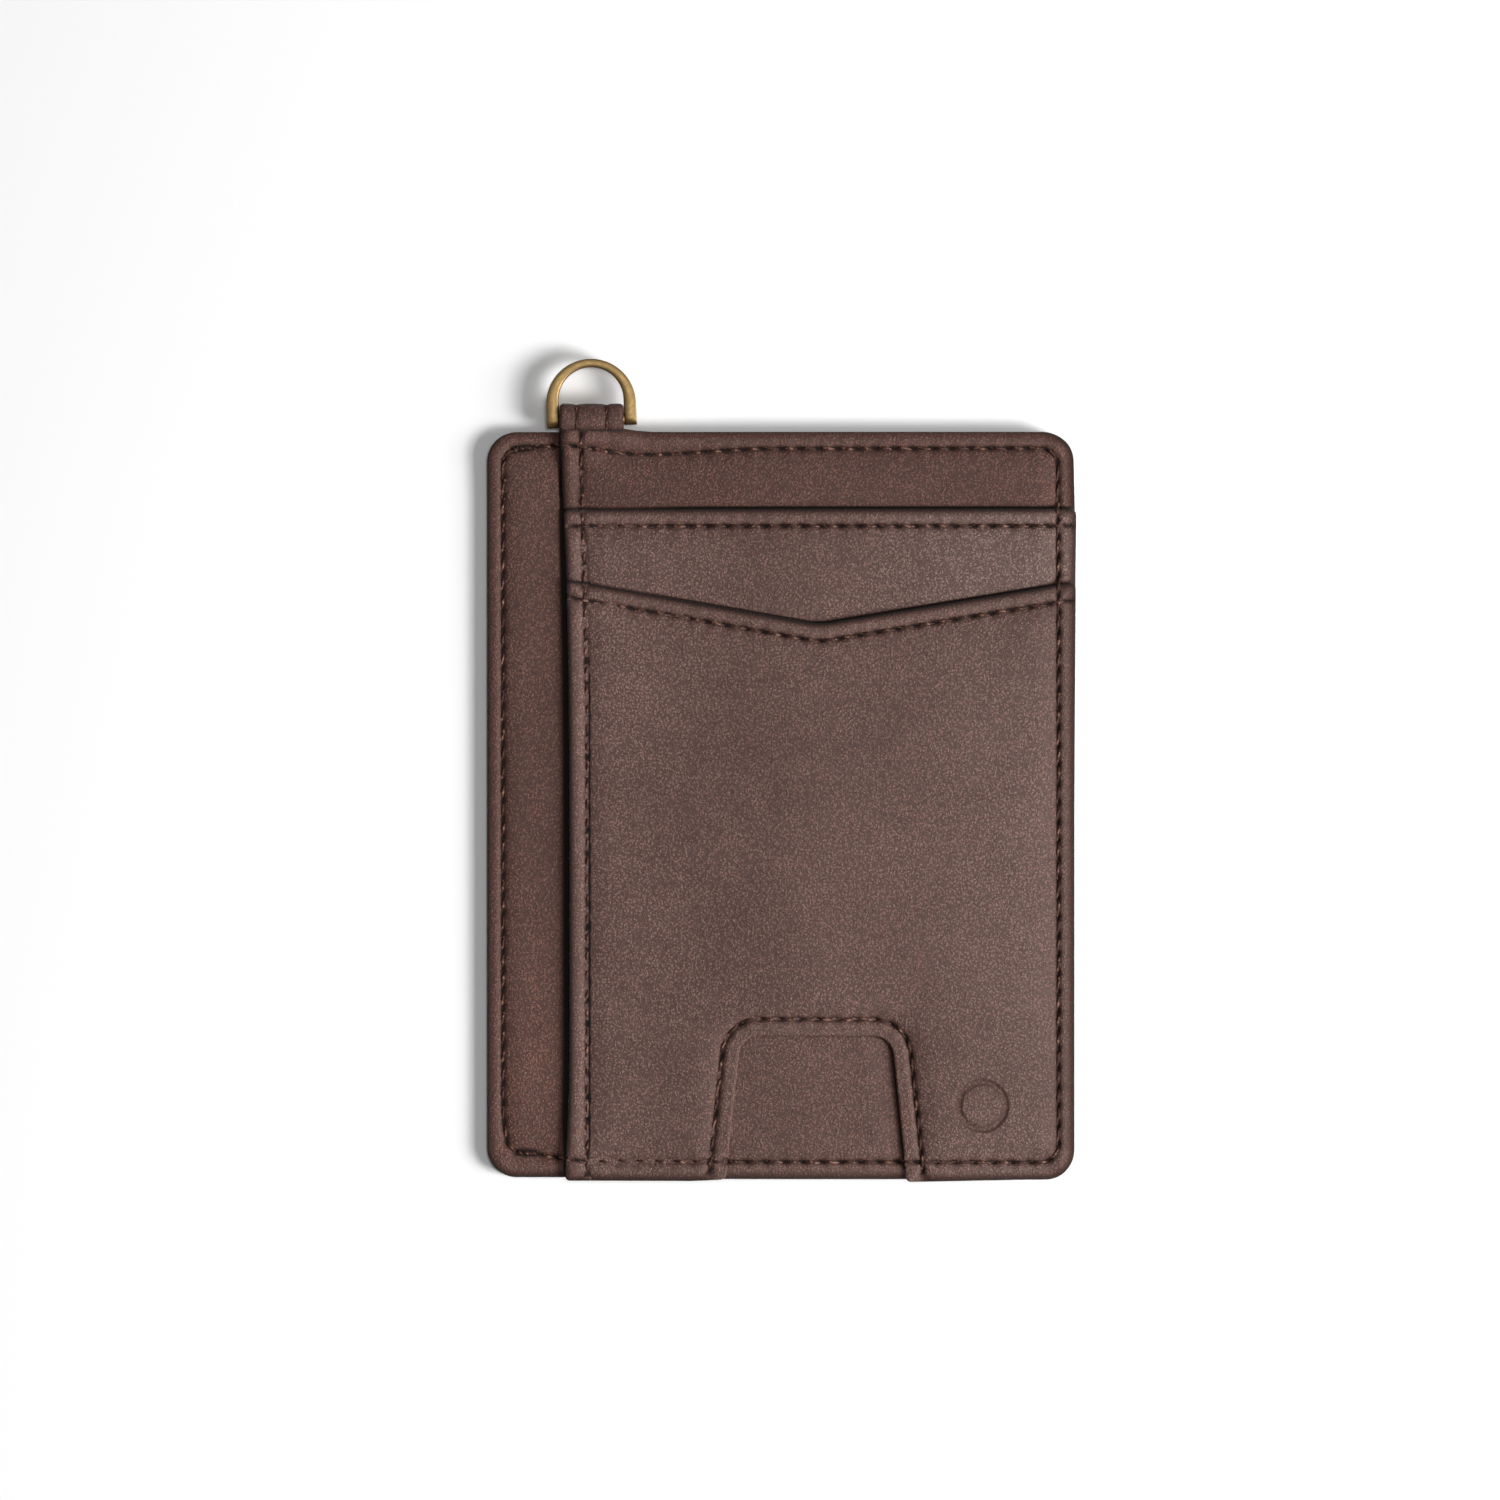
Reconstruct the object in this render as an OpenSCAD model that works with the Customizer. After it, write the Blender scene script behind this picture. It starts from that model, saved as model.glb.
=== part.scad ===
// Slim leather front-pocket wallet, lying on its back.
// +X runs to the wallet's right, +Y up the wallet and +Z out of its front.
// The origin is under the middle of the whole object, the ring included, on the surface it lies on.
// Every layer of leather, lining, shield and film is a sheet of its own, stacked along Z.
// Card and cash pockets are real gaps: turned edges stand between the sheets along the sewn sides.

/* [Body] */
// Width over the widest layer
body_w = 71.3; // [69:0.1:76]
// Height of the leather body, without the ring
body_h = 90.8; // [89:0.1:96]
// Radius of the outer corners
corner_r = 3.6; // [3.2:0.1:6]
// Strip of the back wall left bare beside the front panel
strip_w = 9.35; // [8:0.05:14]
// How far the back wall and the top band stop short of the pockets at the right
right_step = 0.3; // [0:0.05:0.8]
// How far the back wall stops short of the pockets at the bottom
bottom_step = 0.4; // [0:0.05:0.8]
// Width of the turned edges
hem_w = 2.6; // [2:0.1:3]

/* [Layers] */
// Thickness of the split leather
leather_t = 0.55; // [0.5:0.05:1]
// Thickness of the lining fabric
lining_t = 0.12; // [0.1:0.02:0.3]
// Thickness of the foil shield
shield_t = 0.08; // [0.06:0.02:0.2]
// Thickness of the clear film
film_t = 0.2; // [0.15:0.05:0.4]
// Slack of each card pocket while it is empty
card_gap = 0.4; // [0.3:0.05:1.6]
// Slack of the middle pocket for folded notes while it is empty
cash_gap = 0.6; // [0.5:0.05:2]

/* [Front pockets] */
// Height of the straight upper mouth above the middle of the body
upper_mouth_y = 36.06; // [33:0.02:38]
// Height of the slanted mouth at the left edge
lower_mouth_left_y = 27.5; // [25:0.1:30]
// Height of the slanted mouth at the right edge
lower_mouth_right_y = 27.3; // [25:0.1:30]
// Lowest point of the slanted mouth, across
lower_mouth_low_x = 4.5; // [-5:0.1:12]
// Lowest point of the slanted mouth, up
lower_mouth_low_y = 22; // [18:0.1:24]

/* [Thumb notch] */
// Middle of the notch, across
notch_x = 4.2; // [-4:0.1:8]
// Width at the bottom edge
notch_bottom_w = 21.9; // [18:0.1:26]
// Width at the top
notch_top_w = 18.2; // [14:0.1:22]
// Height from the bottom edge
notch_h = 17.4; // [12:0.1:20]
// Radius of the two upper corners
notch_r = 2.4; // [1.5:0.1:4]

/* [Back pocket] */
// Height of the back mouth above the middle of the body
back_mouth_y = 37; // [35:0.5:39]
// Radius of the half-round finger notch in the back mouth
back_notch_r = 8; // [6:0.5:9]
// Width of the window
window_w = 46; // [40:0.5:48]
// Height of the window
window_h = 60; // [50:0.5:61]
// Middle of the window, up
window_y = -7.5; // [-9:0.5:-7]
// Radius of the window's corners
window_r = 4; // [2:0.5:6]
// How far the film reaches past the window
film_lap = 3; // [2.5:0.5:4]

/* [Stitching] */
// Width of a row of thread
thread_w = 0.4; // [0.3:0.05:0.5]
// Height of the thread above the leather
thread_t = 0.2; // [0.15:0.05:0.25]
// Distance of the perimeter row from the outline
seam_inset = 1.95; // [1.6:0.05:2.4]
// Distance of the mouth, notch and window rows from their edges
mouth_inset = 2.1; // [1.6:0.05:2.4]

/* [Ring and tab] */
// Width over the ring
ring_w = 10.9; // [10.5:0.1:12]
// Width of a leg of the ring
ring_leg_w = 1.5; // [1.2:0.1:1.6]
// Thickness of the ring at the top of its arch
ring_arch_w = 1.0; // [0.8:0.1:1.4]
// Thickness of the flat ring
ring_t = 1.7; // [1.2:0.1:1.9]
// Height of the ring's top above the middle of its bar
ring_rise = 7.2; // [7:0.1:9]
// Radius of the bar that the tab is folded around
bar_r = 0.75; // [0.5:0.05:0.8]
// Turn of the ring in its own plane, degrees
ring_tilt = 2.5; // [0:0.5:3]
// Width of the leather tab
tab_w = 7.5; // [6:0.1:7.6]
// Outer radius of the tab's loop
loop_r = 1.9; // [1.7:0.1:2.1]
// How far the tab's tail is sewn in between the panels
tab_tail = 8; // [5:0.5:12]

/* [Hidden] */
$fn = 64;

leather_colour = [0.42, 0.32, 0.30];
lining_colour = [0.24, 0.19, 0.17];
shield_colour = [0.68, 0.69, 0.71];
film_colour = [0.85, 0.88, 0.90, 0.35];
thread_colour = [0.30, 0.20, 0.17];
brass_colour = [0.78, 0.62, 0.34];

// Outline of the body, measured from its middle
body_left = -body_w / 2;
body_right = body_w / 2;
body_bottom = -body_h / 2;
body_top = body_h / 2;
step_right = body_right - right_step;
back_bottom = body_bottom + bottom_step;
panel_left = body_left + strip_w;
over = 20;

// Levels of the layers, from the back to the front
glue = 0.02;
film_z = leather_t;
back_panel_z = film_z + film_t + card_gap;
back_shield_z = back_panel_z + leather_t;
inner_panel_z = back_shield_z + shield_t;
cash_z = inner_panel_z + leather_t;
front_lining_z = cash_z + cash_gap;
front_shield_z = front_lining_z + lining_t;
front_panel_z = front_shield_z + shield_t;
band_z = front_panel_z + leather_t;
upper_lining_z = band_z + card_gap;
upper_leather_z = upper_lining_z + lining_t;
upper_z = upper_leather_z + leather_t;
lower_lining_z = upper_z + card_gap;
lower_leather_z = lower_lining_z + lining_t;
lower_z = lower_leather_z + leather_t;

// Rows of stitching
seam_r = corner_r - seam_inset;
crossing_gap = 0.15;
row_end = 0.3;
groove_t = thread_t + 0.02;
groove_side = 0.05;
lining_margin = 0.1;
mouth_margin = 1;

// Slopes of the slanted mouth on both sides of its lowest point
mouth_slope_left = (lower_mouth_left_y - lower_mouth_low_y) / (lower_mouth_low_x - panel_left);
mouth_slope_right = (lower_mouth_right_y - lower_mouth_low_y) / (body_right - lower_mouth_low_x);

// Lean of the thumb notch's sides
notch_lean = atan((notch_bottom_w - notch_top_w) / 2 / notch_h);
notch_top_y = body_bottom + notch_h;

// Plain ring pressed into the lower pocket
emblem_x = 24.3;
emblem_y = -36.4;
emblem_r = 3.2;
emblem_line = 0.7;
emblem_depth = 0.15;

// Ring, bar and tab
bar_x = -23.05;
tab_x = -23.1;
bar_y = body_top + 1.5;
bar_z = cash_z + cash_gap / 2;
bore_clearance = 0.1;
tab_gap = 0.03;
tab_tail_t = cash_gap - 2 * glue;
tab_left = tab_x - tab_w / 2;
tab_right = tab_x + tab_w / 2;
tab_row_offset = 1.75;
ring_leg_x = ring_w / 2 - ring_leg_w;
ring_top_y = bar_y + ring_rise;

// The whole object's box is centred on the origin
shift_y = -(ring_top_y + body_bottom) / 2;

// ---- plain outlines ----

module rounded(left, right, bottom, top, r) {
    translate([left + r, bottom]) square([right - left - 2 * r, top - bottom]);
    translate([left, bottom + r]) square([right - left, top - bottom - 2 * r]);
    for (x = [left + r, right - r], y = [bottom + r, top - r])
        translate([x, y]) circle(r);
}

module back_outline(inset = 0) {
    rounded(body_left + inset, step_right - inset, back_bottom + inset, body_top - inset, corner_r - inset);
}

// Front layers share a straight left edge and are rounded at the right
module front_outline(right, inset = 0) {
    intersection() {
        rounded(panel_left - over, right - inset, body_bottom + inset, body_top - inset, corner_r - inset);
        translate([panel_left + inset, body_bottom]) square([body_w, body_h]);
    }
}

module below_upper_mouth(drop = 0) {
    translate([body_left - over, body_bottom - over])
        square([body_w + 2 * over, upper_mouth_y - drop - body_bottom + over]);
}

module below_lower_mouth(drop = 0) {
    left = body_left - over;
    right = body_right + over;
    polygon([
        [left, body_bottom - over],
        [right, body_bottom - over],
        [right, lower_mouth_low_y - drop + mouth_slope_right * (right - lower_mouth_low_x)],
        [lower_mouth_low_x, lower_mouth_low_y - drop],
        [left, lower_mouth_low_y - drop + mouth_slope_left * (lower_mouth_low_x - left)]
    ]);
}

// Trapezoid with round upper corners, grown outwards for its row of stitches
module notch_outline(grow = 0) {
    r = notch_r + grow;
    top = notch_top_y + grow;
    half_top = notch_top_w / 2 + grow / cos(notch_lean) - grow * tan(notch_lean);
    middle_x = half_top + r * tan(notch_lean) - r / cos(notch_lean);
    foot_y = body_bottom - over;
    half_foot = half_top + (top - foot_y) * tan(notch_lean);
    side_x = middle_x + r * cos(notch_lean);
    side_y = top - r + r * sin(notch_lean);
    translate([notch_x, 0]) {
        polygon([
            [-half_foot, foot_y], [half_foot, foot_y], [side_x, side_y],
            [middle_x, top], [-middle_x, top], [-side_x, side_y]
        ]);
        for (side = [-1, 1])
            translate([side * middle_x, top - r]) circle(r);
    }
}

module upper_area() {
    intersection() {
        front_outline(body_right);
        below_upper_mouth();
    }
}

module lower_area() {
    difference() {
        intersection() {
            front_outline(body_right);
            below_lower_mouth();
        }
        notch_outline();
    }
}

module back_pocket_area(drop = 0) {
    difference() {
        intersection() {
            back_outline();
            translate([body_left - over, body_bottom - over])
                square([body_w + 2 * over, back_mouth_y - drop - body_bottom + over]);
        }
        translate([0, back_mouth_y]) circle(back_notch_r + drop);
    }
}

module window_outline(grow = 0) {
    half_w = window_w / 2 + grow;
    half_h = window_h / 2 + grow;
    rounded(-half_w, half_w, window_y - half_h, window_y + half_h, window_r + grow);
}

// Turned edges along the left, right and bottom of an area, apart from each other at the corners
module turned_edges(left, right, bottom) {
    for (x = [left, right - hem_w])
        intersection() {
            children();
            translate([x, bottom]) square([hem_w, body_h]);
        }
    intersection() {
        children();
        translate([left + hem_w + glue, bottom]) square([right - left - 2 * (hem_w + glue), hem_w]);
    }
}

// ---- rows of stitches, as flat ribbons of a given width ----

module perimeter_row(width) {
    half = width / 2;
    left = body_left + seam_inset;
    right = body_right - seam_inset - right_step / 2;
    bottom = body_bottom + seam_inset + bottom_step / 2;
    top = body_top - seam_inset;
    difference() {
        rounded(left - half, right + half, bottom - half, top + half, seam_r + half);
        rounded(left + half, right - half, bottom + half, top - half, seam_r - half);
    }
}

module panel_edge_row(width) {
    translate([panel_left + hem_w - width / 2, body_bottom + row_end]) square([width, body_h - 2 * row_end]);
}

module across_the_front() {
    translate([panel_left + row_end, body_bottom]) square([body_right - panel_left - 2 * row_end, body_h]);
}

module upper_mouth_row(width) {
    intersection() {
        difference() {
            below_upper_mouth(mouth_inset - width / 2);
            below_upper_mouth(mouth_inset + width / 2);
        }
        across_the_front();
    }
}

module lower_mouth_row(width) {
    intersection() {
        difference() {
            below_lower_mouth(mouth_inset - width / 2);
            below_lower_mouth(mouth_inset + width / 2);
        }
        across_the_front();
    }
}

module notch_row(width) {
    intersection() {
        difference() {
            notch_outline(mouth_inset + width / 2);
            notch_outline(mouth_inset - width / 2);
        }
        translate([panel_left, body_bottom + row_end]) square([body_w, body_h]);
    }
}

module window_row(width) {
    difference() {
        window_outline(mouth_inset + width / 2);
        window_outline(mouth_inset - width / 2);
    }
}

module back_mouth_row(width) {
    intersection() {
        difference() {
            back_pocket_area(mouth_inset - width / 2);
            back_pocket_area(mouth_inset + width / 2);
        }
        back_outline(seam_inset + thread_w);
    }
}

// A crossing row is cut back so that the two threads stay apart
module crossing_rows() {
    perimeter_row(thread_w + 2 * crossing_gap);
}

// Lays a row on the front layers, at the level that shows at each place
module on_front_layers() {
    levels = [band_z, upper_z, lower_z];
    for (i = [0:2])
        translate([0, 0, levels[i]]) linear_extrude(thread_t) intersection() {
            children();
            visible_area(i);
        }
}

module visible_area(layer) {
    if (layer == 0)
        difference() {
            front_outline(step_right);
            below_upper_mouth(-crossing_gap);
        }
    if (layer == 1)
        difference() {
            upper_area();
            difference() {
                below_lower_mouth(-crossing_gap);
                notch_outline(-crossing_gap);
            }
        }
    if (layer == 2)
        lower_area();
}

// ---- back wall ----

module back_pocket() {
    color(leather_colour) {
        difference() {
            linear_extrude(leather_t) difference() {
                back_pocket_area();
                window_outline();
            }
            linear_extrude(groove_t) {
                window_row(thread_w + 2 * groove_side);
                back_mouth_row(thread_w + 2 * groove_side);
                perimeter_row(thread_w + 2 * groove_side);
            }
        }
        translate([0, 0, film_z + glue]) linear_extrude(back_panel_z - film_z - 2 * glue)
            turned_edges(body_left, step_right, back_bottom) back_pocket_area();
    }
}

module id_window() {
    color(film_colour) translate([0, 0, film_z]) linear_extrude(film_t)
        window_outline(film_lap);
}

module back_panel() {
    color(leather_colour) translate([0, 0, back_panel_z]) linear_extrude(leather_t)
        back_outline();
}

module back_shield() {
    color(shield_colour) translate([0, 0, back_shield_z]) linear_extrude(shield_t)
        back_outline(hem_w + lining_margin);
}

module inner_panel() {
    color(leather_colour) translate([0, 0, inner_panel_z]) linear_extrude(leather_t)
        back_outline();
}

// ---- front wall and its pockets ----

module front_lining() {
    color(lining_colour) translate([0, 0, front_lining_z]) linear_extrude(lining_t)
        front_outline(step_right, hem_w + lining_margin);
}

module front_shield() {
    color(shield_colour) translate([0, 0, front_shield_z]) linear_extrude(shield_t)
        front_outline(step_right, hem_w + 2 * lining_margin);
}

module front_panel() {
    hem_z = cash_z + glue;
    color(leather_colour) {
        translate([0, 0, front_panel_z]) linear_extrude(leather_t) front_outline(step_right);
        // The free left edge is turned under thinly, so that the middle pocket stays open at its side
        translate([panel_left, body_bottom + hem_w + glue, front_lining_z])
            cube([hem_w, body_h - 2 * (hem_w + glue), front_panel_z - glue - front_lining_z]);
        translate([0, 0, hem_z]) linear_extrude(front_panel_z - glue - hem_z) sewn_sides();
    }
}

// Right, bottom and top edges of the middle pocket, clear of the tab
module sewn_sides() {
    intersection() {
        front_outline(step_right);
        union() {
            translate([step_right - hem_w, body_bottom]) square([hem_w, body_h]);
            translate([panel_left, body_bottom]) square([step_right - hem_w - glue - panel_left, hem_w]);
            translate([tab_right + tab_gap, body_top - hem_w])
                square([step_right - hem_w - glue - tab_right - tab_gap, hem_w]);
        }
    }
}

module upper_pocket_lining() {
    color(lining_colour) translate([0, 0, upper_lining_z]) linear_extrude(lining_t) intersection() {
        front_outline(body_right, hem_w + lining_margin);
        below_upper_mouth(mouth_margin);
    }
}

module upper_pocket() {
    hem_z = band_z + glue;
    color(leather_colour) {
        translate([0, 0, upper_leather_z]) linear_extrude(leather_t) upper_area();
        translate([0, 0, hem_z]) linear_extrude(upper_leather_z - glue - hem_z)
            turned_edges(panel_left, body_right, body_bottom) upper_area();
    }
}

module lower_pocket_lining() {
    color(lining_colour) translate([0, 0, lower_lining_z]) linear_extrude(lining_t) difference() {
        intersection() {
            front_outline(body_right, hem_w + lining_margin);
            below_lower_mouth(mouth_margin);
        }
        notch_outline(mouth_margin);
    }
}

module lower_pocket() {
    hem_z = upper_z + glue;
    color(leather_colour) {
        difference() {
            translate([0, 0, lower_leather_z]) linear_extrude(leather_t) lower_area();
            translate([emblem_x, emblem_y, lower_z - emblem_depth]) difference() {
                cylinder(r = emblem_r, h = 1);
                translate([0, 0, -1]) cylinder(r = emblem_r - emblem_line, h = 3);
            }
        }
        translate([0, 0, hem_z]) linear_extrude(lower_leather_z - glue - hem_z)
            turned_edges(panel_left, body_right, body_bottom) lower_area();
    }
}

// ---- ring and tab ----

// Everything that is centred on the bar is drawn around the origin and moved here
module at_bar(tilt) {
    translate([bar_x, bar_y, bar_z]) rotate([0, 0, tilt]) children();
}

module tab_profile() {
    tail_start = body_top + tab_gap - bar_y;
    intersection() {
        circle(loop_r);
        translate([tail_start, -loop_r]) square([2 * loop_r, 2 * loop_r]);
    }
    translate([tail_start - tab_tail, -tab_tail_t / 2]) square([tab_tail + bar_r, tab_tail_t]);
}

module ring_tab() {
    color(leather_colour) difference() {
        translate([tab_left, bar_y, bar_z]) rotate([90, 0, 90]) linear_extrude(tab_w) tab_profile();
        at_bar(ring_tilt) rotate([0, 90, 0]) cylinder(r = bar_r + bore_clearance, h = 2 * tab_w, center = true);
    }
}

module ring_profile() {
    outer_r = ring_w / 2;
    outer_y = ring_rise - outer_r;
    inner_r = ring_leg_x;
    inner_y = ring_rise - ring_arch_w - inner_r;
    difference() {
        union() {
            intersection() {
                translate([0, outer_y]) circle(outer_r);
                translate([-outer_r, outer_y]) square([ring_w, outer_r]);
            }
            translate([-outer_r, 0]) square([ring_w, outer_y]);
        }
        translate([0, inner_y]) circle(inner_r);
        translate([-inner_r, -inner_r]) square([2 * inner_r, inner_y + inner_r]);
    }
}

module d_ring() {
    color(brass_colour) at_bar(ring_tilt) {
        translate([0, 0, -ring_t / 2]) linear_extrude(ring_t) ring_profile();
        // Round ends of the two legs
        for (x = [-ring_w / 2, ring_leg_x])
            translate([x, 0, 0]) rotate([0, 90, 0]) cylinder(r = ring_t / 2, h = ring_leg_w);
        rotate([0, 90, 0]) cylinder(r = bar_r, h = ring_w - ring_leg_w, center = true);
    }
}

// ---- stitching ----

module perimeter_thread_front() {
    color(thread_colour) {
        on_front_layers() perimeter_row(thread_w);
        translate([0, 0, cash_z]) linear_extrude(thread_t) intersection() {
            perimeter_row(thread_w);
            translate([body_left, body_bottom])
                square([min(panel_left, tab_left) - tab_gap - body_left, body_h]);
        }
    }
}

module perimeter_thread_back() {
    color(thread_colour) {
        linear_extrude(thread_t) intersection() {
            perimeter_row(thread_w);
            back_pocket_area();
        }
        translate([0, 0, back_panel_z - thread_t]) linear_extrude(thread_t) difference() {
            perimeter_row(thread_w);
            back_pocket_area(-crossing_gap);
            translate([body_left, body_bottom]) square([body_w, body_h / 2]);
        }
    }
}

module panel_edge_thread() {
    color(thread_colour) on_front_layers() difference() {
        panel_edge_row(thread_w);
        crossing_rows();
    }
}

module upper_pocket_thread() {
    color(thread_colour) on_front_layers() difference() {
        upper_mouth_row(thread_w);
        crossing_rows();
        panel_edge_row(thread_w + 2 * crossing_gap);
    }
}

module lower_pocket_thread() {
    color(thread_colour) on_front_layers() difference() {
        lower_mouth_row(thread_w);
        crossing_rows();
        panel_edge_row(thread_w + 2 * crossing_gap);
    }
}

module thumb_notch_thread() {
    color(thread_colour) on_front_layers() difference() {
        notch_row(thread_w);
        crossing_rows();
    }
}

// Two rows that run over the loop, from the front edge to the back one
module tab_thread() {
    color(thread_colour) intersection() {
        for (side = [-1, 1])
            translate([tab_x + side * tab_row_offset, bar_y, bar_z]) rotate([0, 90, 0]) difference() {
                cylinder(r = loop_r + thread_t, h = thread_w, center = true);
                cylinder(r = loop_r, h = 2 * thread_w, center = true);
            }
        translate([tab_left, body_top + tab_gap, 0]) cube([tab_w, 2 * loop_r + 2, 2 * bar_z]);
    }
}

module window_thread() {
    color(thread_colour) linear_extrude(thread_t) window_row(thread_w);
}

module back_mouth_thread() {
    color(thread_colour) linear_extrude(thread_t) back_mouth_row(thread_w);
}

translate([0, shift_y, 0]) {
    back_pocket();
    id_window();
    back_panel();
    back_shield();
    inner_panel();
    front_lining();
    front_shield();
    front_panel();
    upper_pocket_lining();
    upper_pocket();
    lower_pocket_lining();
    lower_pocket();
    ring_tab();
    d_ring();
    perimeter_thread_front();
    perimeter_thread_back();
    panel_edge_thread();
    upper_pocket_thread();
    lower_pocket_thread();
    thumb_notch_thread();
    tab_thread();
    window_thread();
    back_mouth_thread();
}
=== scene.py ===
import math

import bpy
import numpy as np
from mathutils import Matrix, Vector, geometry


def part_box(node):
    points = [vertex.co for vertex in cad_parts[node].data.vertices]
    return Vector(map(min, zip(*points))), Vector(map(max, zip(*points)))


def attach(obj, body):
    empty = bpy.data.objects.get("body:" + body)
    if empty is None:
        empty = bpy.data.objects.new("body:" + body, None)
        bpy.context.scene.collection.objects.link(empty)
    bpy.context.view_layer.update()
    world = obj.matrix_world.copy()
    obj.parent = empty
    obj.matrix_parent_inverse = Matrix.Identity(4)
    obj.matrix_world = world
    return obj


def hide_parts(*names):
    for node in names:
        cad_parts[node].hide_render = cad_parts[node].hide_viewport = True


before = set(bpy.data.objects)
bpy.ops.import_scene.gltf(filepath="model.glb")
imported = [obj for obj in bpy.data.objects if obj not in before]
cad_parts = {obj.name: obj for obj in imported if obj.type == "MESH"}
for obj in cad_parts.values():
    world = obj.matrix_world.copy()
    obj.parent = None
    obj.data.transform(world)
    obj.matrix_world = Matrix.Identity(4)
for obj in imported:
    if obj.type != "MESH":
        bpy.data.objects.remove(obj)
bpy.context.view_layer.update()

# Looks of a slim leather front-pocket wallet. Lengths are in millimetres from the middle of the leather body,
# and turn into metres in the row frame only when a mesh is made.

MM = 0.001

# ---- sizes

LEFT, RIGHT, BOTTOM, TOP = -35.8, 35.65, -45.4, 45.4
STEP_RIGHT = 35.5
BACK_BOTTOM = -45.25
CORNER = 3.6
PANEL_LEFT = -26.3
HEM = 2.6
UPPER_MOUTH = 36.06
MOUTH_LEFT, MOUTH_RIGHT = 27.5, 27.12
MOUTH_LOW = (4.5, 22.0)
NOTCH_X, NOTCH_TOP = 4.2, -28.0
NOTCH_HALF_FOOT, NOTCH_HALF_TOP, NOTCH_R = 10.95, 9.1, 2.4
NOTCH_LEAN = (NOTCH_HALF_FOOT - NOTCH_HALF_TOP) / (NOTCH_TOP - BOTTOM)
BACK_MOUTH, FINGER_R = 37.0, 8.0
WINDOW = (-23.0, 23.0, -37.5, 22.5)
WINDOW_R, FILM_LAP = 4.0, 1.3
INSET = 2.1
EMBLEM = (24.3, -36.4)
TAB_X, TAB_W, TAB_ROW = -23.08, 7.8, 1.85
BAR = (-23.05, 46.9)
RING_W, RING_LEG, RING_ARCH, RING_T, RING_RISE = 10.9, 1.5, 1.0, 1.7, 7.36
RING_TILT = math.radians(2.5)
BAR_R, BORE_R = 0.75, 0.85
PITCH = 2.3
FOLD = 1.05
EDGE_STEP, ARC_STEP = 0.4, 0.45

SHIFT_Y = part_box("lower_pocket")[0][1] / MM - BOTTOM


def levels(node):
    low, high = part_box(node)
    return low[2] / MM, high[2] / MM


STRIP_TOP = levels("inner_panel")[1]
BAND_TOP = levels("front_panel")[1]
UPPER_TOP = levels("upper_pocket")[1]
LOWER_TOP = levels("lower_pocket")[1]
BAR_Z = sum(levels("d_ring")) / 2

# ---- plane geometry


def smooth(low, high, value):
    t = np.clip((value - low) / (high - low), 0, 1)
    return t * t * (3 - 2 * t)


def bell(value, width):
    return np.exp(-((value / width) ** 2))


def fillet(corners, closed=True):
    """A line through corners (x, y, radius), each rounded by its radius."""
    out = []
    for i, (x, y, r) in enumerate(corners):
        p = np.array([x, y], float)
        if r <= 0 or (not closed and i in (0, len(corners) - 1)):
            out.append(p)
            continue
        a = np.array(corners[i - 1][:2], float) - p
        b = np.array(corners[(i + 1) % len(corners)][:2], float) - p
        a /= np.hypot(*a)
        b /= np.hypot(*b)
        half = math.acos(float(np.clip(a @ b, -1, 1))) / 2
        centre = p + (a + b) / np.hypot(*(a + b)) * (r / math.sin(half))
        start = p + a * (r / math.tan(half)) - centre
        end = p + b * (r / math.tan(half)) - centre
        turn = math.atan2(start[0] * end[1] - start[1] * end[0], start @ end)
        count = max(3, round(abs(turn) * r / ARC_STEP))
        for k in range(count + 1):
            c, s = math.cos(turn * k / count), math.sin(turn * k / count)
            out.append(centre + [start[0] * c - start[1] * s, start[0] * s + start[1] * c])
    return np.array(out)


def rounded_box(left, right, bottom, top, radii):
    """The corners of a box, from the lower left one round by the right, for fillet."""
    return list(zip((left, right, right, left), (bottom, bottom, top, top), radii))


def lengths_along(line, closed):
    """The line with its end, and how far along it each of its points is."""
    ends = np.vstack([line, line[:1]]) if closed else np.asarray(line)
    return ends, np.concatenate([[0], np.cumsum(np.hypot(*np.diff(ends, axis=0).T))])


def points_at(line, closed, at):
    ends, length = lengths_along(line, closed)
    return np.stack([np.interp(at, length, ends[:, i]) for i in (0, 1)], 1)


def resample(line, step, closed=True):
    total = lengths_along(line, closed)[1][-1]
    count = max(3, round(total / step))
    at = np.arange(count) * total / count if closed else np.linspace(0, total, count + 1)
    return points_at(line, closed, at)


def subdivide(line, longest=4.0):
    """The same closed line with no segment longer than this."""
    out = []
    for a, b in zip(line, np.roll(line, -1, axis=0)):
        n = max(1, math.ceil(np.hypot(*(b - a)) / longest))
        out += [a + (b - a) * k / n for k in range(n)]
    return np.array(out)


def nearest(points, line, closed=True):
    """Distance to a line, where along it the nearest place is, and which side the point is on."""
    ends, length = lengths_along(line, closed)
    best = np.full(len(points), 1e9)
    along = np.zeros(len(points))
    side = np.zeros(len(points))
    for a, b, start in zip(ends[:-1], ends[1:], length[:-1]):
        ab = b - a
        size = np.hypot(*ab)
        if size < 1e-9:
            continue
        ap = points - a
        t = np.clip(ap @ ab / size**2, 0, 1)
        off = ap - t[:, None] * ab
        d = np.hypot(off[:, 0], off[:, 1])
        near = d < best
        best[near] = d[near]
        along[near] = start + t[near] * size
        side[near] = np.sign(ab[0] * ap[near, 1] - ab[1] * ap[near, 0])
    return best, along, side


def inside(points, loops):
    odd = np.zeros(len(points), bool)
    x, y = points.T
    for loop in loops:
        for (x0, y0), (x1, y1) in zip(loop, np.roll(loop, -1, axis=0)):
            if y0 != y1:
                odd ^= ((y0 > y) != (y1 > y)) & (x < (x1 - x0) * (y - y0) / (y1 - y0) + x0)
    return odd


def edge_distance(points, loops):
    return np.min([nearest(points, loop)[0] for loop in loops], axis=0)


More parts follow.
